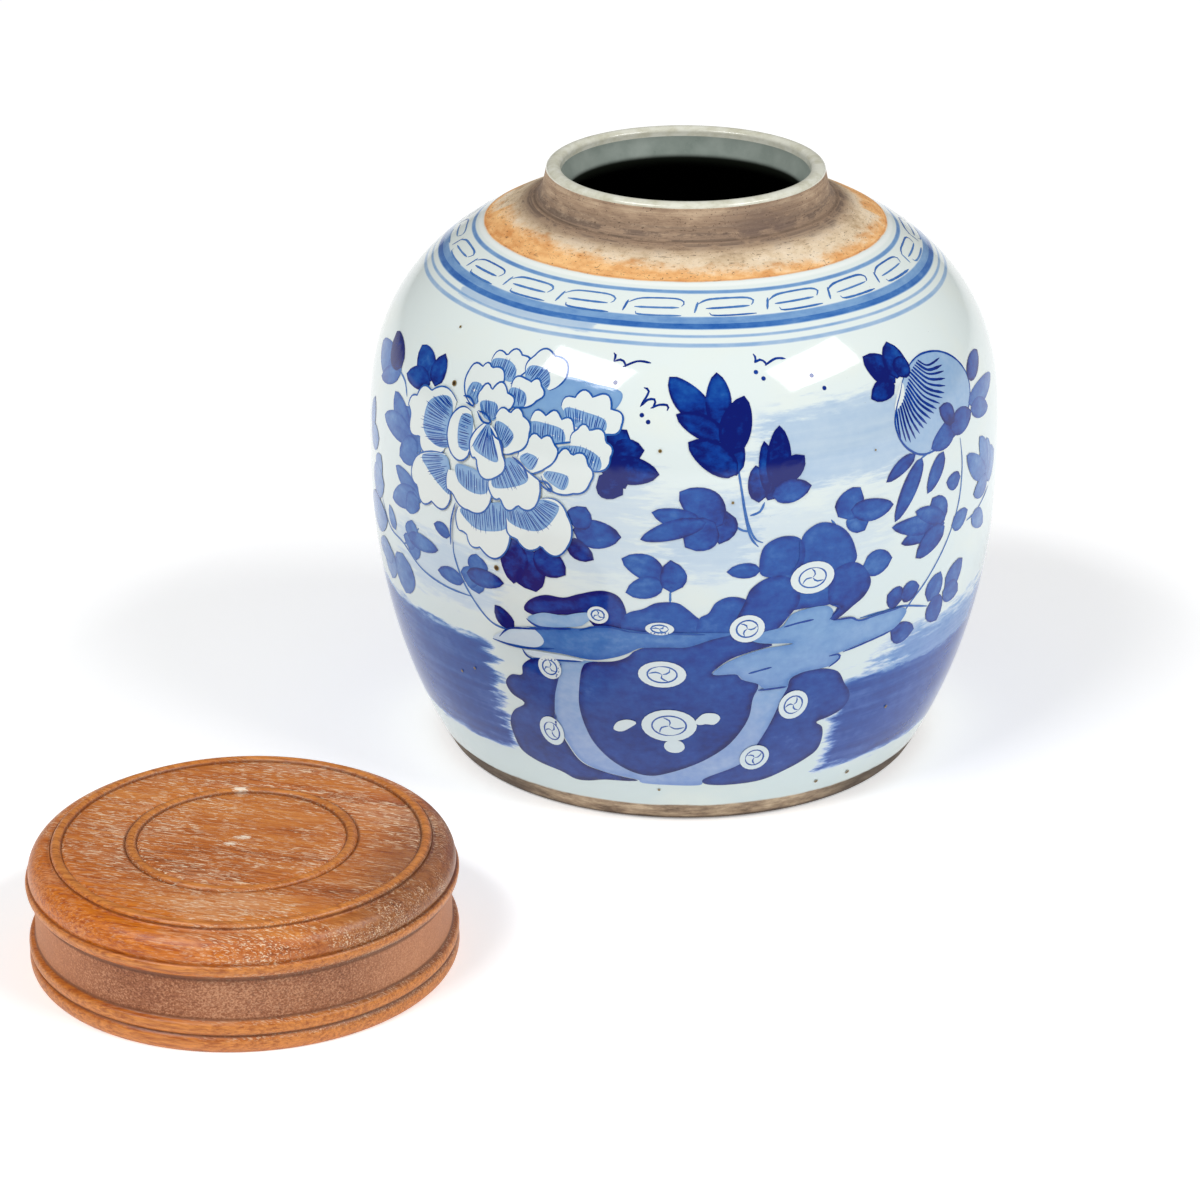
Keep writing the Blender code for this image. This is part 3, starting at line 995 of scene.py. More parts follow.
# Each leaflet: stem end (turn, rise), point (turn, rise), width in mm and tone, sprig by sprig.
leaves = {
    "sprigs": [
        [(-53.5, 147.5, -60.7, 156.2, 9.5, 0.9), (-52, 146.5, -52.3, 157.5, 8, 0.95),
         (-53.5, 146.5, -62.2, 145.5, 7.5, 0.9)],
        [(-64.5, 145, -80, 146.5, 11, 0.62), (-64.5, 144, -73.7, 138, 6.5, 0.66),
         (-64.8, 146, -73.4, 153.8, 9.5, 1.0)],
        [(-53.3, 124, -60, 136, 10, 0.64), (-57, 128, -65, 138, 9.5, 0.66), (-56, 127, -68.4, 128, 9, 0.62),
         (-54.5, 127, -60.6, 118.8, 9.5, 0.62)],
        [(-53.2, 107, -55.5, 115.2, 7.5, 0.62), (-53.5, 109, -62.2, 114.6, 7.5, 0.62),
         (-53.5, 109, -63.9, 102.4, 8.5, 0.62), (-53.5, 108, -58.2, 101.8, 7.5, 0.64)],
        [(-44.8, 100.5, -49.3, 102.4, 5, 0.74)],
        [(-56, 92.5, -56.3, 99.5, 8.5, 0.64), (-56, 94, -55.5, 85.9, 8.5, 0.64),
         (-55.5, 91, -59.8, 92, 5.5, 0.62), (-58, 93, -48.2, 93.8, 6, 0.7)],
        [(-63.2, 91.5, -65.8, 98.9, 5.8, 0.56)],
        [(-41.8, 86.3, -48.8, 86.6, 5.8, 0.68)],
        [(-38.8, 91, -38.5, 97.7, 8.5, 0.7), (-39, 91, -38.3, 83.8, 8.5, 0.7),
         (-38, 90, -42.5, 89.5, 7.5, 0.68), (-41, 90, -32.5, 90.3, 6.5, 0.86)],
        [(-61, 84.8, -62, 69.8, 15, 0.6), (-68, 84, -69, 70.4, 13, 0.56), (-66, 80, -74.5, 79, 9, 0.54)],
        [(-29.5, 107, -29.8, 100, 5.5, 0.9), (-28, 104, -26, 89.8, 14, 0.9),
         (-31, 106.5, -30.5, 91, 10.5, 0.92), (-26, 105, -20.3, 97.4, 10, 0.95)],
        [(-31, 75, -34.9, 81.7, 6.2, 0.94)],
        [(-19, 113, -10.4, 112.2, 9.5, 0.8), (-18.5, 113.5, -16.6, 121, 8.5, 0.8),
         (-20, 109.5, -15.2, 103.8, 6.5, 0.94)],
        [(-13.8, 139, -9.8, 128, 9, 0.96), (-13.3, 138, -10, 146.3, 8.5, 1.0),
         (-12.5, 139.5, -6.7, 140.3, 8, 1.0), (-13.5, 134.5, -4, 133, 9, 0.95),
         (-14.5, 131.5, -10.2, 126, 8.5, 1.0)],
        [(9.2, 132.5, 4.6, 153, 10.5, 0.9), (5, 150, -2.8, 163.2, 9, 0.9), (6, 148, 6.3, 164.6, 8, 0.9),
         (7.5, 144, -1.4, 151.6, 7.5, 0.9), (8.2, 139, 11.2, 156.9, 10, 1.0),
         (9.3, 133, 0.8, 143.2, 9.5, 0.93)],
        [(14.5, 124, 17.5, 136, 7.5, 0.93), (13, 123.5, 12.5, 135.4, 7, 0.93),
         (14.8, 126, 14.2, 142.7, 5.5, 0.93), (16, 128, 17.2, 147, 8, 0.97), (17, 130, 21.4, 137, 7.5, 1.0),
         (15.2, 125.5, 22.5, 127.3, 7.5, 0.82)],
        [(7.4, 121.5, 6.2, 110.6, 8, 0.84), (6.8, 117, -0.6, 127.8, 11.5, 0.8),
         (5.5, 118, 0.4, 109.8, 11, 0.8), (3, 118.5, -5.3, 121, 6.5, 0.76),
         (4, 118, -7.2, 111.9, 6.5, 0.76)],
        [(-3, 99, -10.4, 105.2, 8.5, 0.74), (-3, 97.5, -9.7, 93.8, 7.5, 0.72),
         (-1.8, 94.5, -2, 105.5, 8.5, 0.78)],
        [(13.6, 101.3, 7.5, 101.3, 5.2, 0.74)],
        [(30, 116.5, 33, 109.1, 9, 0.74), (27.5, 115.5, 32, 123.8, 10.5, 0.76),
         (30, 117, 39.2, 115.3, 7.5, 0.78)],
        [(32.8, 97, 39.3, 97.3, 9, 0.74)],
        [(42.8, 153, 37.2, 163.7, 9.5, 0.97), (43.5, 154, 44.5, 166.2, 9.5, 1.0),
         (44, 154.5, 47.2, 160, 7.5, 1.0), (42.5, 152.5, 36.2, 150.3, 7, 0.97)],
        [(44.7, 129.3, 37.5, 123.2, 5, 0.78), (46.3, 127.5, 39.6, 109.1, 7, 0.78),
         (52.4, 126.5, 47.6, 114.8, 6.5, 0.78)],
        [(57, 134.5, 48.8, 129, 8, 0.8), (55, 132.5, 63.2, 133.8, 8.5, 0.78),
         (56.5, 134, 52.4, 140.7, 7, 0.88)],
        [(62.5, 137, 77, 138.5, 7.5, 0.62), (63, 134.5, 71.7, 130.4, 7, 0.66),
         (64.2, 144, 72.8, 149.2, 7, 0.94)],
        [(57.9, 115, 53.1, 115.6, 6.2, 0.76)],
        [(70, 107, 76, 113, 13, 0.56), (71, 108, 70, 121, 9.5, 0.56), (70, 110, 66, 123.7, 7.5, 0.6),
         (69.5, 109, 60.2, 120.7, 8, 0.62), (71, 106, 63.5, 105.4, 7.5, 0.6)],
        [(52.5, 102, 49, 112.7, 9.5, 0.78), (53, 102, 41.2, 101, 6.5, 0.75),
         (52.8, 104, 38.9, 107.6, 7, 0.75), (53, 103, 44.5, 110.4, 6, 0.75),
         (53, 101, 45.1, 94.2, 8.5, 0.76)],
        [(55.3, 99.5, 61.3, 101.6, 7, 0.68)],
        [(63, 98, 69.9, 91.4, 7, 0.6)],
        [(42.5, 81, 38.7, 84.6, 7.8, 0.8), (42, 82, 46.9, 83.6, 7.4, 0.8)],
        [(40.6, 70.5, 47, 68, 8, 0.8)],
        [(50, 76, 53, 85.2, 9.5, 0.74), (51.5, 77, 54, 66.8, 9.5, 0.76), (55, 78, 60.7, 85.2, 9.5, 0.72),
         (54.5, 77, 60.7, 73.3, 8, 0.72)],
        [(-77, 118, -76, 129.7, 7.5, 0.56), (-78, 117, -71.3, 118, 9.5, 0.55),
         (-72, 104, -70, 113.2, 8.5, 0.56), (-76, 102, -68.3, 104, 12, 0.55),
         (-79, 92, -67.3, 92, 13, 0.55)],
    ],
    "lift": 0.12,
    "stemWidth": 0.75,
    "stemTone": 0.62,
    "stems": [
        [(-44, 99), (-44, 95), (-42.2, 87), (-39, 79.5), (-36, 75), (-33, 74), (-30, 75), (-26, 77)],
        [(-70, 99), (-66, 91), (-60, 89), (-54, 84), (-47, 82), (-40, 82)],
        [(-65.5, 145), (-62, 143), (-60, 139)],
        [(9.4, 136), (10, 128), (11, 118), (12.3, 112), (13.8, 110.3)],
        [(10, 128), (10.7, 119), (11.6, 112.5), (13, 109)],
        [(7.5, 118.5), (10, 115), (11.6, 114.4)],
        [(11.5, 119.5), (13.2, 120.6), (14, 123.5)],
        [(-2, 95), (-2, 91)],
        [(58, 128), (58.5, 118), (57.5, 106), (54, 95), (49, 85), (45, 79), (42, 73)],
        [(61, 98), (66, 99), (72, 103)],
        [(33, 79), (38, 79), (43, 78.5), (50, 74.5)],
        [(26.2, 115), (27.2, 112.6)],
        [(46, 127.3), (48.5, 128.4), (51, 129.6)],
        [(-54, 98), (-58, 91), (-60, 89)],
    ],
}


def paintLeaves():
    work = Brushwork("leaves", leaves["lift"])
    for sprig in leaves["sprigs"]:
        work.lift = leaves["lift"]
        for turn, rise, tipTurn, tipRise, width, tone in sprig:
            work.leaf((turn, rise), (tipTurn, tipRise), width, tone, dice.uniform(-0.12, 0.12))
            work.raised(0.02)
    work.finished(cobaltLeaf)
    stems = Brushwork("stems", 0.08)
    for stem in leaves["stems"]:
        stems.stroke(stem, leaves["stemWidth"], leaves["stemTone"])
    stems.finished(cobaltLine)


paintLeaves()


# peach

peach = {
    "outline": [(44.4, 152.5), (46.5, 155.6), (49.5, 158), (53, 158.6), (57.5, 157), (61.5, 153),
                (64, 147.5), (64.4, 142), (62.5, 136), (58.5, 131), (52.5, 128.6), (47, 128.2), (43.5, 131),
                (41.3, 135.5), (40.6, 141), (41.6, 145.6), (43, 149)],
    "notch": [(41, 145), (42, 148.5), (43.6, 152), (44.6, 152.2), (44.2, 148.8), (42.8, 146)],
    "tone": 0.28,
    "outlineWidth": 0.7,
    "outlineTone": 0.8,
    "foot": [(41.4, 144.4), (43.4, 147), (45.6, 151.6), (47.6, 155), (50.4, 157.3)],
    "tips": [(41.4, 135.4), (44, 133.6), (47.4, 136.6), (51.6, 140.6), (55, 144.4), (56.6, 149.4),
             (57, 155)],
    "marks": 17,
    "markWidth": 0.85,
    "markTone": 0.9,
}


def paintPeach():
    work = Brushwork("peach", 0.08)
    work.patch(closedLine(peach["outline"]), peach["tone"])
    work.raised()
    work.patch(closedLine(peach["notch"]), 0.0)
    work.raised()
    work.stroke(peach["outline"] + peach["outline"][:1], peach["outlineWidth"], peach["outlineTone"])
    footFlat, footScale = flattened(peach["foot"])
    tipFlat, tipScale = flattened(peach["tips"])
    footLine = resampled(smoothed(footFlat), 0.4)
    tipLine = resampled(smoothed(tipFlat), 0.4)
    for index in range(peach["marks"] + 1):
        share = index / peach["marks"]
        start = unflattened(footLine[round(share * (len(footLine) - 1))], footScale)
        end = unflattened(tipLine[round(share * (len(tipLine) - 1))], tipScale)
        # the strokes bow out to the left, and those in the middle sag most
        bow = 0.9 * share + 0.2
        sag = 2.6 * share * (1 - share * 0.4)
        middle = ((start[0] + end[0]) / 2 - bow, (start[1] + end[1]) / 2 - sag)
        width = peach["markWidth"] * dice.uniform(0.8, 1.15)
        work.stroke([start, middle, end], width, peach["markTone"], 0.8, 0.25)
    work.finished(cobaltWash)


paintPeach()


# rockery

rockery = {
    # tone and outline of each patch, from the back one to the front one
    "trunk": (0.3, [(-22, 67), (-23, 60), (-24.3, 50), (-24.3, 42), (-23, 34), (-20.5, 26), (-16, 22.5),
                    (-9, 20.3), (-8, 18.8), (-2, 18.4), (4, 18.4), (5, 20.5), (9, 24.5), (13, 28), (15, 34),
                    (17, 44), (18.5, 52), (19.8, 58), (20, 62), (14, 65), (5, 66), (-10, 68), (-18, 68)]),
    "stones": [
        (0.8, [(-27, 65.8), (-30, 62), (-30.5, 58), (-33, 56.8), (-34.6, 53), (-33.6, 49), (-31, 46.4),
               (-34, 42), (-35.7, 36), (-35.5, 28), (-34.5, 24), (-31, 21), (-26, 19), (-23, 16.6),
               (-20, 16.8), (-16, 18.6), (-11, 19.2), (-8.8, 20), (-12, 21), (-16, 22.4), (-20.5, 25.4),
               (-23, 33), (-24.5, 42), (-24, 52), (-22.4, 65)]),
        (0.76, [(20, 61), (22, 63.2), (25, 63.4), (28, 62.2), (30, 60), (31.5, 55.5), (33, 51.5),
                (33.3, 48), (32, 44.6), (29.5, 42.8), (26.8, 41.6), (28.4, 39), (29, 34), (28.5, 29),
                (26, 25.5), (22, 22), (17, 18.8), (10, 18), (5.4, 18.8), (4.6, 21), (7, 23.4), (10.5, 26),
                (13, 29), (14.8, 35), (17, 44), (18.8, 54), (19.7, 58)]),
        (0.8, [(-18, 65), (-16.6, 67.6), (-12, 69), (-9.6, 71), (-8, 73.6), (-5, 75.4), (-1, 75.6), (3, 77),
               (6, 79), (9, 80.4), (12, 78), (14.4, 75.8), (16.2, 74.6), (12.4, 73), (8.6, 70.6), (6, 67),
               (5.6, 65.2), (9.4, 65.4), (11, 62.6), (13.6, 61.6), (14, 59), (13.2, 55), (12.8, 48),
               (11.4, 42), (9, 36), (5.5, 31), (2, 27.5), (-2, 24.5), (-6, 22.6), (-10, 24), (-14, 28.5),
               (-17, 35), (-18.5, 42), (-19.2, 50), (-18.8, 58)]),
        (0.9, [(-28.6, 82.6), (-27.5, 86.5), (-24.4, 89.4), (-20.8, 89.6), (-18, 91.6), (-14, 93.7),
               (-11, 92.4), (-9.7, 88), (-9.6, 83.4), (-11, 80.6), (-15, 80.8), (-17, 83.6), (-21.6, 83.4),
               (-25.4, 81.4)]),
        (0.76, [(-10.4, 81), (-9.6, 86.4), (-6.6, 88.6), (-4.4, 90.8), (-1, 91.1), (1, 88.8), (2.8, 85.8),
                (4.6, 84), (5, 79.8), (0, 79.8), (-6, 80)]),
        (0.72, [(2.6, 80.6), (3, 85.6), (4.6, 87.4), (5.8, 91), (8.2, 92.8), (11, 91.6), (13, 88), (13, 82),
                (9, 79), (5, 79.2)]),
        (0.76, [(17.4, 101), (22, 101), (28, 100), (30, 92), (28, 86.8), (22, 86.4), (17.6, 87), (16, 94)]),
        (0.72, [(20.2, 103), (20.8, 110.6), (22.4, 113.6), (24.6, 114.7), (27.4, 113), (29.6, 109.6),
                (31, 104.6), (31.2, 99.4), (27, 97), (21.4, 98)]),
        (0.72, [(13.2, 103), (13.8, 108.4), (15.6, 111), (18, 111.8), (20.4, 110.4), (21.4, 106),
                (20.6, 100.6), (17.4, 98.4), (13.8, 99.2)]),
        (0.76, [(27, 97.6), (30, 99.6), (32.8, 97.4), (34.7, 91.6), (33.7, 87), (31.2, 84), (29, 81.4),
                (27, 79.6), (26.8, 82), (28, 84.6), (26.4, 86.6), (26, 92)]),
        (0.78, [(10.8, 90.6), (11.8, 95), (14.4, 98.2), (17.6, 98.6), (20, 95), (20.6, 89), (18.6, 84),
                (16.8, 80.4), (13, 77.2), (10, 77), (8.4, 80)]),
    ],
    "shelves": [
        (0.54, [(-36, 69), (-30, 68.8), (-22, 69.3), (-16, 68.7), (-12, 70.4), (-9.4, 72.4), (-7.2, 74.6),
                (-3, 75.3), (1, 75.5), (5, 78), (9, 80), (4, 80.6), (-3, 80.6), (-8, 80.8), (-12, 81.4),
                (-15, 81.3), (-18, 79.6), (-22, 79), (-26, 77.6), (-30, 76), (-33, 73.4)]),
        (0.27, [(-28, 80), (-26.4, 82), (-24.4, 83.2), (-21, 83.4), (-18.6, 84.8), (-16.4, 85.6),
                (-15.6, 84.2), (-16.6, 82.2), (-18, 80.4), (-22, 78.8), (-26, 77.8)]),
        (0.12, [(-36, 69.2), (-31, 69.2), (-26.6, 70), (-25, 73), (-27, 76.6), (-30, 76), (-33, 73.4)]),
        (0.38, [(5.6, 65.3), (7.5, 69), (11, 72), (15, 73.8), (20, 74.4), (14, 75.8), (12.2, 77.6),
                (14.4, 79.8), (17.6, 81), (19.2, 84.8), (22, 86.2), (25.6, 86.2), (27.2, 84), (27, 80.6),
                (30, 80.4), (33, 78.6), (37, 79), (42, 78.6), (44, 76), (41, 71.2), (34, 69.6), (30, 68.2),
                (28.4, 67.6), (29.6, 66.2), (27.4, 63.6), (22.6, 63.2), (19.8, 61.2), (19.4, 58.2),
                (15.4, 58.4), (13.8, 60.8), (11.2, 62.6), (9.8, 65)]),
        (0.08, [(-29, 68.2), (-27.8, 66.2), (-24, 66.4), (-19.6, 67.2), (-17.4, 68.2), (-22, 68.8)]),
    ],
    "edgeWidth": 0.7,
    "edgeTone": 0.8,
    "paleTone": 0.02,
    "ringShare": 0.62,      # how big each roundel's drawn ring is
    "ringPoints": 14,
    "spokes": 3,
    "spokeBend": [(0.02, 0), (0.3, 0.25), (0.55, 0.75)],   # how far out, and how far round
    "roundelWidth": 0.55,
    "ringTone": 0.66,
    "spokeTone": 0.62,
    # fine lines along the shelves' edges
    "edges": [
        [(-36, 69), (-30, 68.6), (-23, 70.8)], [(-34.4, 70.6), (-32, 74.6), (-27, 76.6), (-20, 79.2)],
        [(-28.2, 79.8), (-27, 78.4), (-25, 77.8), (-19.6, 79)], [(-18, 79), (-15.4, 80.8), (-12.4, 81.4),
                                                                 (-9, 80.2)],
        [(-9, 80.3), (-2, 80.4), (4, 80)], [(-29.6, 68.2), (-28.8, 66), (-27.4, 65.2)], [(-27.6, 65.6),
                                                                                         (-24, 66.4),
                                                                                         (-18, 67.6)],
        [(12, 65), (14, 65.8), (16.2, 66.6)], [(18, 80.8), (20.6, 81.6), (23.5, 82)],
        [(27.2, 67.5), (29.2, 67.4), (29.4, 65.6), (27.4, 63.3)], [(27.5, 80.4), (31, 80), (33, 78.2),
                                                                   (37, 78.6), (43, 78.5)],
        [(30, 68), (35, 69.4), (41, 71)], [(14, 58.2), (19.4, 58.4)], [(-23.2, 60), (-22, 65.6)],
              [(-24.5, 45),
                                                                                                   (-24.6,
                                                                                                    40)],
        [(26.6, 81), (28.6, 84.2), (27, 86)], [(19, 99.4), (20.4, 103.4), (20.4, 109.6)],
    ],
    # each roundel: middle (turn, rise), half widths in degrees and mm, and the tilt of its mark
    "roundels": [(-3.4, 65.3, 4.3, 4.9, 0.2), (-2.2, 45.2, 5.2, 6.5, 1.2), (-24.3, 63.4, 2.3, 4.4, 0.8),
                 (-25.8, 37.4, 2.6, 6, 0.4), (21.2, 50.8, 2.9, 5.6, 0.5), (14.8, 30.2, 3.0, 5.4, 2.0),
                 (22.9, 96.7, 4.1, 5.4, 0.9), (11.4, 81.4, 3.1, 4.8, 1.6), (-3.8, 81.9, 2.5, 2.2, 0.3),
                 (-14.6, 85.2, 1.9, 3, 1.0)],
    "knobs": [
        [(-12.8, 42.4), (-12, 45.5), (-10, 46.9), (-8.3, 46), (-9.2, 44.2), (-11.2, 41.8)],
        [(3.2, 48.6), (4.4, 50.3), (6.5, 50), (7.3, 48), (6.3, 45.7), (4.6, 46), (3.6, 45.6), (2.6, 46.6)],
        [(-3.2, 36.5), (-2.5, 38.8), (0, 38.8), (0.8, 36), (-0.3, 33.9), (-2.3, 34.2)],
    ],
}


def oval(turn, rise, halfTurn, halfRise, rounds=24):
    places = []
    for index in range(rounds):
        around = 2 * math.pi * index / rounds
        places.append((turn + halfTurn * math.cos(around), rise + halfRise * math.sin(around)))
    return places


def paintRoundel(work, turn, rise, halfTurn, halfRise, tilt):
    work.patch(oval(turn, rise, halfTurn, halfRise), rockery["paleTone"])
    work.raised(0.01)
    share, points = rockery["ringShare"], rockery["ringPoints"]
    ring = oval(turn, rise, halfTurn * share, halfRise * share, points)
    start = dice.randrange(points)
    ring = ring[start:] + ring[:start]
    work.stroke(ring + ring[:1], rockery["roundelWidth"], rockery["ringTone"])
    for spoke in range(rockery["spokes"]):
        around = tilt + spoke * math.tau / rockery["spokes"]
        places = []
        for reach, twist in rockery["spokeBend"]:
            across = halfTurn * reach * math.cos(around + twist)
            places.append((turn + across, rise + halfRise * reach * math.sin(around + twist)))
        work.stroke(places, rockery["roundelWidth"], rockery["spokeTone"])
    work.raised(-0.01)


def paintRockery():
    work = Brushwork("rockery", 0.05)
    for tone, outline in [rockery["trunk"]] + rockery["stones"] + rockery["shelves"]:
        work.patch(closedLine(outline), tone)
        work.raised()
    for knob in rockery["knobs"]:
        work.patch(closedLine(knob), rockery["paleTone"])
    for roundel in rockery["roundels"]:
        paintRoundel(work, *roundel)
    for edge in rockery["edges"]:
        work.stroke(edge, rockery["edgeWidth"], rockery["edgeTone"])
    work.finished(cobaltRock)


paintRockery()


# fret border and birds

fret = {
    "units": 21,
    "start": -66.0,
    "width": 0.72,
    "tone": 0.56,
    "marks": [
        [(0, 185), (1, 189.3)],
        [(0.8, 188.4), (4, 190.4), (12, 190.5), (14.6, 189.2), (13.6, 187.4)],
        [(2.5, 186.8), (13, 187.2)],
        [(3, 185.2), (4.2, 184), (14, 184)],
    ],
}

birds = {
    "width": 0.75,
    "tone": 0.92,
    "wings": [
        [(-14.3, 170), (-13.8, 169), (-14, 167.2)], [(-14, 167), (-12.8, 167.9), (-11.8, 167.2),
                                                     (-11.5, 165.6)],
        [(-12, 165.6), (-9.2, 167.8), (-6.5, 167.4)],
        [(14, 170), (14.4, 168.6), (14, 167.2)], [(14, 167), (15.2, 167.9), (16.1, 167), (16.3, 165.8)],
        [(16, 165.9), (18.4, 167.8), (20.5, 167.4)],
        [(-7.5, 159.5), (-6.5, 158.4), (-7.9, 153.5)], [(-7.9, 153.6), (-6.6, 155.8), (-5.2, 155.8),
                                                        (-5.6, 153.2)],
        [(-6, 153.2), (-4.4, 154.4), (-2.8, 154.2), (-3, 152.6)],
    ],
    "dotSize": 0.75,
    "dots": [(-13, 160.5), (14, 164), (15.3, 161.8), (-7.5, 151), (-6.3, 149), (25, 161), (27, 156.5)],
}


def paintBorder():
    work = Brushwork("fretBorder", 0.05)
    for unit in range(fret["units"]):
        start = fret["start"] + unit * 360 / fret["units"]
        for mark in fret["marks"]:
            left = start + dice.uniform(-0.25, 0.25)
            places = [(left + turn + dice.uniform(-0.2, 0.2), rise + dice.uniform(-0.15, 0.15))
                      for turn, rise in mark]
            width = fret["width"] * dice.uniform(0.85, 1.15)
            work.stroke(places, width, fret["tone"] * dice.uniform(0.85, 1.15))
    work.finished(cobaltLine, shifts=(0,))
    flock = Brushwork("birds", 0.05)
    for wing in birds["wings"]:
        flock.stroke(wing, birds["width"], birds["tone"])
    for place in birds["dots"]:
        flock.dot(place, birds["dotSize"], birds["tone"])
    flock.finished(cobaltLine)


paintBorder()


# iron specks in the glaze

ironSpecks = {
    "lift": 0.26,
    # turn, rise and size of each one
    "places": [(-47, 150, 1.0), (-34, 95, 1.0), (-42, 54.5, 0.5), (-46, 51, 0.5), (44, 39.5, 0.6),
               (39.5, 13, 0.8), (31, 13, 0.7), (-4.5, 16, 0.5), (-4, 140.3, 0.6), (35.5, 134.5, 0.35),
               (8.5, 124, 0.5), (-52, 167, 0.5)],
    # from the edge of a speck inwards
    "rust": [(0.0, (150, 128, 80)), (0.45, (74, 54, 26)), (0.8, (30, 20, 12))],
}


def speckGlaze():
    surface = Surface("ironSpeck")
    surface.set("Base Color", surface.ramp(surface.attribute("fromEdge"), ironSpecks["rust"]))
    glazeFinish(surface)
    return surface.material


def paintSpecks():
    work = Brushwork("ironSpecks", ironSpecks["lift"])
    for turn, rise, size in ironSpecks["places"]:
        work.dot((turn, rise), size, 0.0)
    work.finished(speckGlaze())


paintSpecks()


# the lid

lidPlace, lidRadius, lidHeight = axisOf("jar_lid")

panelHeight = lidHeight - 0.9  # the top's two raised rings stand 0.9 mm over its panels
friezeRadius = 62.6

lidShape = {
    "topRadius": 56.9,
    "innerRing": 33.0,
    "ringWidth": 3.3,
    "grooveDepth": 0.45,
    "topRadii": (0.01, 10, 20),
    "panelRadii": (40, 45),
    # curves, each with its two pulls, its end and how many points it has: down the moulding to the
    # frieze, then down the two beads under it
    "mouldingStart": (57.2, panelHeight - 0.9),
    "moulding": [
        ((57.6, 35.7), (58.2, 35.6), (59.0, panelHeight - 1.3), 5),
        ((61.4, 35.6), (63.9, 33.2), (lidRadius - 0.8, 29.6), 16),
        ((64.0, 29.0), (63.6, 28.6), (lidRadius - 1.2, 28.3), 4),
        ((64.6, 28.2), (65.1, 27.4), (lidRadius, 26.4), 7),
        ((64.7, 25.0), (63.8, 24.4), (62.9, 24.2), 5),
        ((friezeRadius, 24), (friezeRadius, 23.2), (friezeRadius, 22.4), 3),
    ],
    "friezeHeights": (19.4, 16.4, 13.4, 10.6),
    "beads": [
        ((friezeRadius, 9.9), (63.0, 9.6), (63.8, 9.5), 4), ((64.9, 9.2), (64.9, 6.4), (63.9, 5.7), 8),
        ((63.6, 5.5), (63.6, 5.2), (64, 5), 3), ((65, 4.4), (65, 1.2), (63.4, 0), 8),
    ],
    # the flat rim, then up the bore and over its top
    "underside": [(60, 0), (55, 0), (51.3, 0), (50.5, 0.8), (50.5, 7), (50.5, 13), (50.5, 19.2), (49.7, 20),
                  (35, 20), (18, 20), (0.01, 20)],
    "steps": 240,
    # turned grooves darkened with painted shade, with a painted shadow under the ovolo's bead, and rubbed
    # edges: the nearest place on the profile, and half width
    "shadedGrooves": [((friezeRadius, 23.6), 1.3), ((63.9, 28.4), 0.3), ((63.7, 5.4), 0.6),
                ((friezeRadius, 10.2), 0.5)],
    "rubbed": [((lidRadius, 26.8), 1.2), ((64.6, 8), 1.6), ((64.7, 2), 2.4)],
    # half width of the painted shade in the grooves beside the top's rings
    "ringGrooveShade": 0.5,
    "ringRubbed": 1.4,
    "frieze": ((friezeRadius, 10), (friezeRadius, 23)),
}


def topRings():
    # the middle radius of each raised ring, and half its width
    half = lidShape["ringWidth"] / 2
    return (lidShape["innerRing"], lidShape["topRadius"] - half), half


def lidProfile():
    # from the middle of the bore's top, down and out, and over to the middle of the lid's top
    shape = lidShape
    rings, half = topRings()
    cut = panelHeight - shape["grooveDepth"]
    profile = [(radius, panelHeight) for radius in shape["topRadii"]]
    for ring in rings:
        profile += [(ring - 6, panelHeight), (ring - half - 1.1, panelHeight)]
        profile += [(ring - half - 0.5, cut + 0.1), (ring - half, cut)]
        profile += ridge(ring, cut, half, lidHeight - cut, 12)[1:-1]
        profile += [(ring + half, cut), (ring + half + 0.3, cut + 0.15)]
        if ring == shape["innerRing"]:
            profile += [(ring + half + 0.9, panelHeight)]
            profile += [(radius, panelHeight) for radius in shape["panelRadii"]]
    profile.append(shape["mouldingStart"])
    profile += bends(profile[-1], shape["moulding"])
    profile += [(friezeRadius, height) for height in shape["friezeHeights"]]
    profile += bends(profile[-1], shape["beads"])
    return (profile + shape["underside"])[::-1]


wood = {
    "grainTurn": math.radians(15),
    # clouds of marks: about how many in a mm along, across and up, then detail, roughness and distortion
    "figure": ((0.010, 0.075, 0.075), 3.0, 0.6, 0.8),
    "fibres": ((0.10, 1.1, 1.1), 4.0, 0.7, 0.5),
    "patches": ((0.022, 0.045, 0.045), 4.0, 0.65),
    "pores": ((0.34, 2.6, 2.6), 2.0, 0.6, 0.4),
    "speckle": ((1.4, 1.8, 1.8), 3.0, 0.7),
    "grain": [(0.34, (128, 62, 16)), (0.45, (180, 96, 34)), (0.58, (208, 128, 56)), (0.72, (226, 156, 86))],
    "dust": [(0.38, (94, 52, 30)), (0.5, (142, 86, 56)), (0.62, (196, 144, 108))],
    # coats: how strongly, and the colour, or the colours along the fibres
    "oiled": (0.9, [(0.35, (158, 66, 0)), (0.6, (212, 118, 8))]),
    # painted shade on the lid's right side
    "shaded": (0.7, [(0.35, (64, 32, 14)), (0.62, (138, 90, 56))]),
    "filler": (0.8, (248, 222, 188)),
    "chalk": (0.3, (226, 182, 148)),
    "warmBase": (0.3, (150, 84, 34)),
    "rubbed": (1.0, [(0.35, (160, 84, 24)), (0.6, (214, 136, 62))]),
    # painted light that makes the frieze paler round its sides
    "litFriezeSides": (0.6, (208, 142, 100)),
    "dusty": 0.85,
    "nick": (0.85, (250, 236, 214)),
    # painted shade in the turned grooves, and the painted shadow under the ovolo's bead
    "grooveShade": (0.66, (96, 50, 20)),
    # the roughness of clean wood, and what patches, filler and the frieze's dust add
    "rough": 0.26,
    "patchRough": 0.28,
    "fillerRough": 0.12,
    "friezeRough": 0.25,
    "relief": (0.5, 0.35),  # how strong the grain's bump is, and how deep in mm
    # pale nicks in the top: place from the middle and half width, in mm
    "nicks": [(0.2, 0.6, 1.3), (-2.9, -3.6, 1.1), (-3.8, 32.2, 1.6)],
}


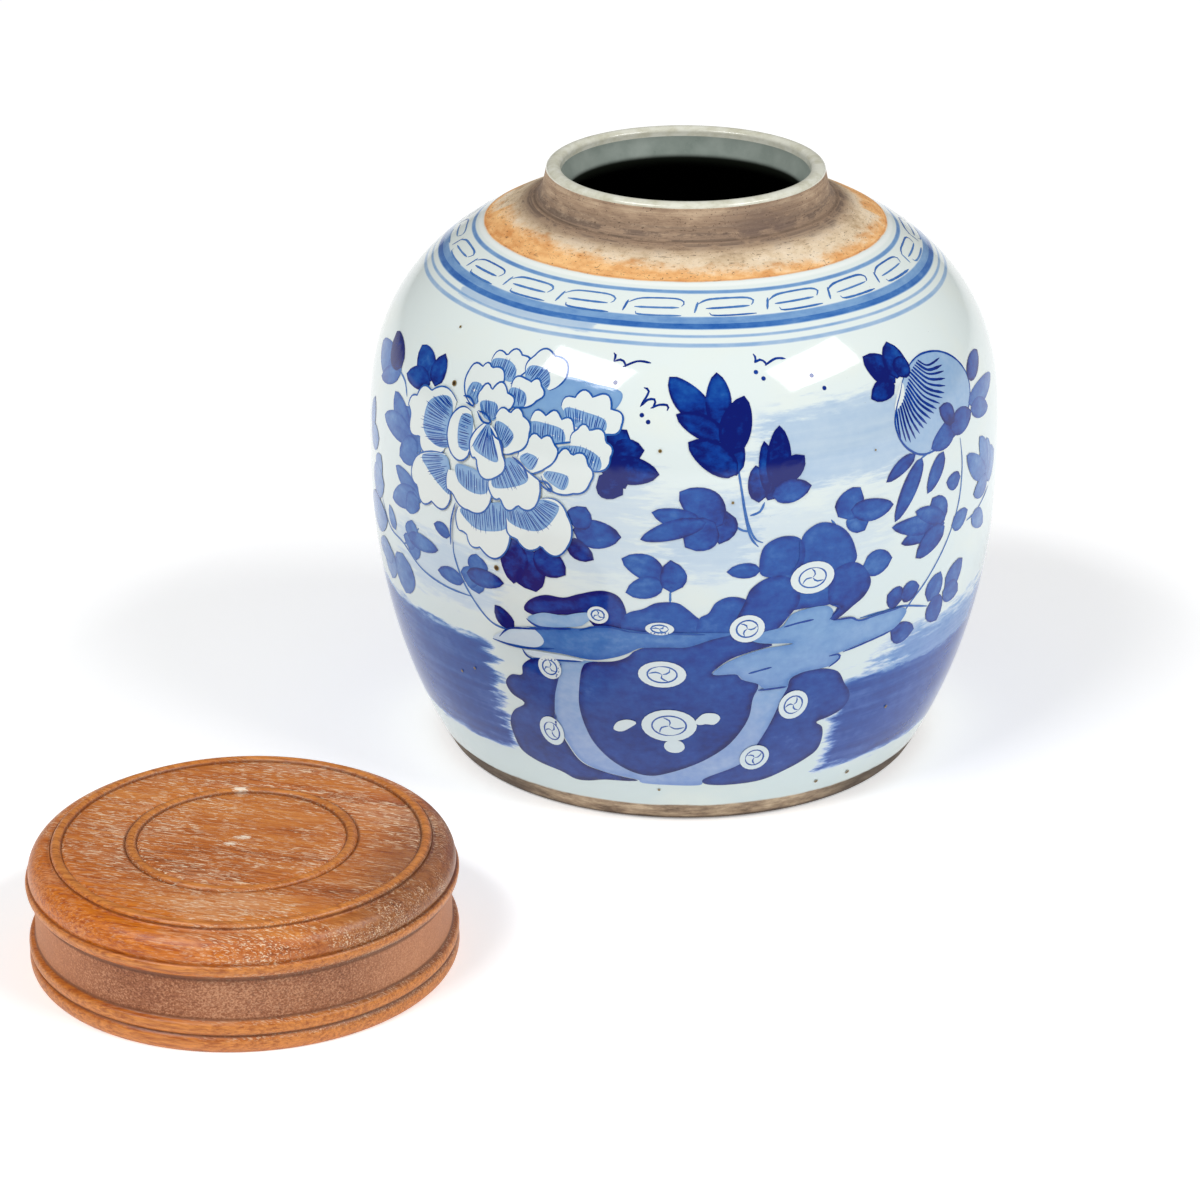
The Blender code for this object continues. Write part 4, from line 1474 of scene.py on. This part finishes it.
def turnedWood(shadedGrooves, rubbedEdges, friezeLow, friezeHigh):
    # grooves, which get painted shade, and rubbed edges are (place, half width) along the profile, in mm
    surface = Surface("turnedWood")
    rise = surface.attribute("rise")
    across = surface.axis("X") / mm
    back = surface.axis("Y") / mm
    turning = {"Vector": surface.place, "Angle": wood["grainTurn"]}
    grainwise = surface.node("ShaderNodeVectorRotate", {"rotation_type": "Z_AXIS"}, turning)
    figure = surface.cloud(*wood["figure"], place=grainwise)
    fibres = surface.cloud(*wood["fibres"], place=grainwise)
    patches = surface.cloud(*wood["patches"], place=grainwise)
    pores = surface.cloud(*wood["pores"], place=grainwise)
    speckle = surface.cloud(*wood["speckle"], place=grainwise)
    colour = surface.ramp(figure * 0.5 + fibres * 0.5, wood["grain"])
    # handled and oily at the front left; painted shade makes the right side darker
    oiled = (across * -0.7 - back * 0.72).between(34.0, 56.0) * patches.between(0.2, 0.42)
    colour = surface.cover(colour, oiled, wood["oiled"], fibres)
    shaded = (across * 0.97 - back * 0.24).between(30.0, 58.0)
    colour = surface.cover(colour, shaded, wood["shaded"], fibres)
    # pale filler left in the pores, worn away in patches
    filled = pores.between(0.55, 0.61) * patches.between(0.34, 0.54) * (1.0 - oiled * 0.75)
    colour = surface.cover(colour, filled, wood["filler"])
    colour = surface.cover(colour, patches.between(0.48, 0.68) * fibres.between(0.32, 0.58), wood["chalk"])
    colour = surface.cover(colour, rise.between(friezeHigh, friezeHigh - 3.0), wood["warmBase"])
    rubbed = strongest([rise.near(place, half, 1.6) for place, half in rubbedEdges])
    colour = surface.cover(colour, (rubbed * (0.7 + patches * 0.5)).limited(), wood["rubbed"], fibres)
    # the frieze is dusty, and painted light makes it paler round its sides
    frieze = rise.inside(friezeLow, friezeHigh, 1.0)
    dusty = surface.ramp(speckle * 0.7 + patches * 0.3, wood["dust"])
    dusty = surface.cover(dusty, abs(across).between(30.0, 58.0), wood["litFriezeSides"])
    colour = surface.mix(frieze * wood["dusty"], colour, dusty)
    ragged = (pores - 0.5) * 12.0
    for left, deep, size in wood["nicks"]:
        spot = (across - left) * (across - left) * 0.35 + (back - deep) * (back - deep) + ragged
        colour = surface.cover(colour, spot.between(size * size, size * size * 0.3), wood["nick"])
    # painted shade along the grooves, and the painted shadow under the ovolo's bead
    dark = strongest([rise.near(place, half, 0.7) for place, half in shadedGrooves])
    colour = surface.cover(colour, dark, wood["grooveShade"])
    surface.set("Base Color", colour)
    rough = wood["rough"] + patches * wood["patchRough"]
    surface.set("Roughness", rough + filled * wood["fillerRough"] + frieze * wood["friezeRough"])
    surface.set("Normal", surface.bump(fibres * 0.6 + filled * 0.5 + speckle * frieze * 0.4, *wood["relief"]))
    return surface.material


def makeLid():
    shape = lidShape
    profile = lidProfile()
    rises = lengthsAlong(profile)

    def riseAt(place):
        # how far along the profile its point nearest to this place is
        return min(zip(profile, rises), key=lambda pair: math.dist(pair[0], place))[1]

    rings, half = topRings()
    # painted shade in the grooves on each side of the top's rings
    shadedGrooves = [(riseAt((ring + side * (half + 0.3), panelHeight)), shape["ringGrooveShade"])
               for ring in rings for side in (-1, 1)]
    shadedGrooves += [(riseAt(place), width) for place, width in shape["shadedGrooves"]]
    rubbedEdges = [(riseAt((ring, lidHeight)), shape["ringRubbed"]) for ring in rings]
    rubbedEdges += [(riseAt(place), width) for place, width in shape["rubbed"]]
    material = turnedWood(shadedGrooves, rubbedEdges, *[riseAt(place) for place in shape["frieze"]])
    lid = lathe("lid", profile, rises, [0] * len(profile), shape["steps"], lidPlace, [material])
    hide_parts("jar_lid")
    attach(lid, "lid")


makeLid()
print("lid turned")


# room, light and camera

studio = {
    "sky": 0.2,
    "backdrop": 0.46,
    "leftWindow": {"side": -48, "height": 48, "width": 2.25, "tall": 1.15, "glow": 14.5},
    "rightWindow": {"side": 64, "height": 44, "width": 2.4, "tall": 1.2, "glow": 12.0},
    "windowDistance": 4.5,
    "aimedAt": 0.8,         # how far up the jar the windows point
    "cameraPlace": Vector((0, -1.2064, 0.5558)),   # from the jar's axis on the table
    "cameraTilt": 66.99,
    "cameraTurn": 1.316,
    "lens": 116.25,
    "sensor": 36,
    "floorSize": 40.0,
    "table": [(0.3, (250, 250, 250)), (0.7, (253, 253, 253))],
    "tableClouds": ((0.002, 0.002, 0.002), 2.0),
    "tableRoughness": 0.8,
    "tableGlow": 0.3,
}


def makeFloor():
    half = studio["floorSize"] / 2
    corners = [(-half, -half, 0), (half, -half, 0), (half, half, 0), (-half, half, 0)]
    mesh = bpy.data.meshes.new("table")
    mesh.from_pydata(corners, [], [(0, 1, 2, 3)])
    surface = Surface("paleTable")
    surface.set("Base Color", surface.ramp(surface.cloud(*studio["tableClouds"]), studio["table"]))
    surface.set("Roughness", studio["tableRoughness"])
    surface.set("Emission Color", (1, 1, 1, 1))
    surface.set("Emission Strength", studio["tableGlow"])
    mesh.materials.append(surface.material)
    table = bpy.data.objects.new("table", mesh)
    bpy.context.scene.collection.objects.link(table)


def makeWindow(name):
    window = studio[name]
    side, height = math.radians(window["side"]), math.radians(window["height"])
    flat = math.cos(height)
    direction = Vector((math.sin(side) * flat, -math.cos(side) * flat, math.sin(height)))
    light = bpy.data.lights.new(name, "AREA")
    light.shape = "RECTANGLE"
    light.size = window["width"]
    light.size_y = window["tall"]
    light.energy = window["glow"] * math.pi * window["width"] * window["tall"]
    lamp = bpy.data.objects.new(name, light)
    aimed = jarPlace + Vector((0, 0, jarHeight * mm * studio["aimedAt"]))
    lamp.location = aimed + direction * studio["windowDistance"]
    lamp.rotation_euler = direction.to_track_quat("Z", "Y").to_euler()
    bpy.context.scene.collection.objects.link(lamp)


def makeCamera():
    camera = bpy.data.objects.new("camera", bpy.data.cameras.new("camera"))
    camera.data.lens = studio["lens"]
    camera.data.sensor_width = studio["sensor"]
    camera.location = jarPlace + studio["cameraPlace"]
    camera.rotation_euler = (math.radians(studio["cameraTilt"]), 0, math.radians(studio["cameraTurn"]))
    bpy.context.scene.collection.objects.link(camera)
    bpy.context.scene.camera = camera


def makeSky():
    world = bpy.data.worlds.new("studio")
    world.use_nodes = True
    tree = world.node_tree
    sky = tree.nodes["Background"]
    sky.inputs["Color"].default_value = (1, 1, 1, 1)
    sky.inputs["Strength"].default_value = studio["sky"]
    # behind the table the camera sees a paler backdrop, as bright as the table's far end
    backdrop = tree.nodes.new("ShaderNodeBackground")
    backdrop.inputs["Color"].default_value = (1, 1, 1, 1)
    backdrop.inputs["Strength"].default_value = studio["backdrop"]
    path = tree.nodes.new("ShaderNodeLightPath")
    either = tree.nodes.new("ShaderNodeMixShader")
    tree.links.new(path.outputs["Is Camera Ray"], either.inputs["Fac"])
    tree.links.new(sky.outputs["Background"], either.inputs[1])
    tree.links.new(backdrop.outputs["Background"], either.inputs[2])
    tree.links.new(either.outputs["Shader"], tree.nodes["World Output"].inputs["Surface"])
    bpy.context.scene.world = world
    bpy.context.scene.view_settings.view_transform = "Standard"


makeFloor()
makeWindow("leftWindow")
makeWindow("rightWindow")
makeCamera()
makeSky()
print("studio ready")
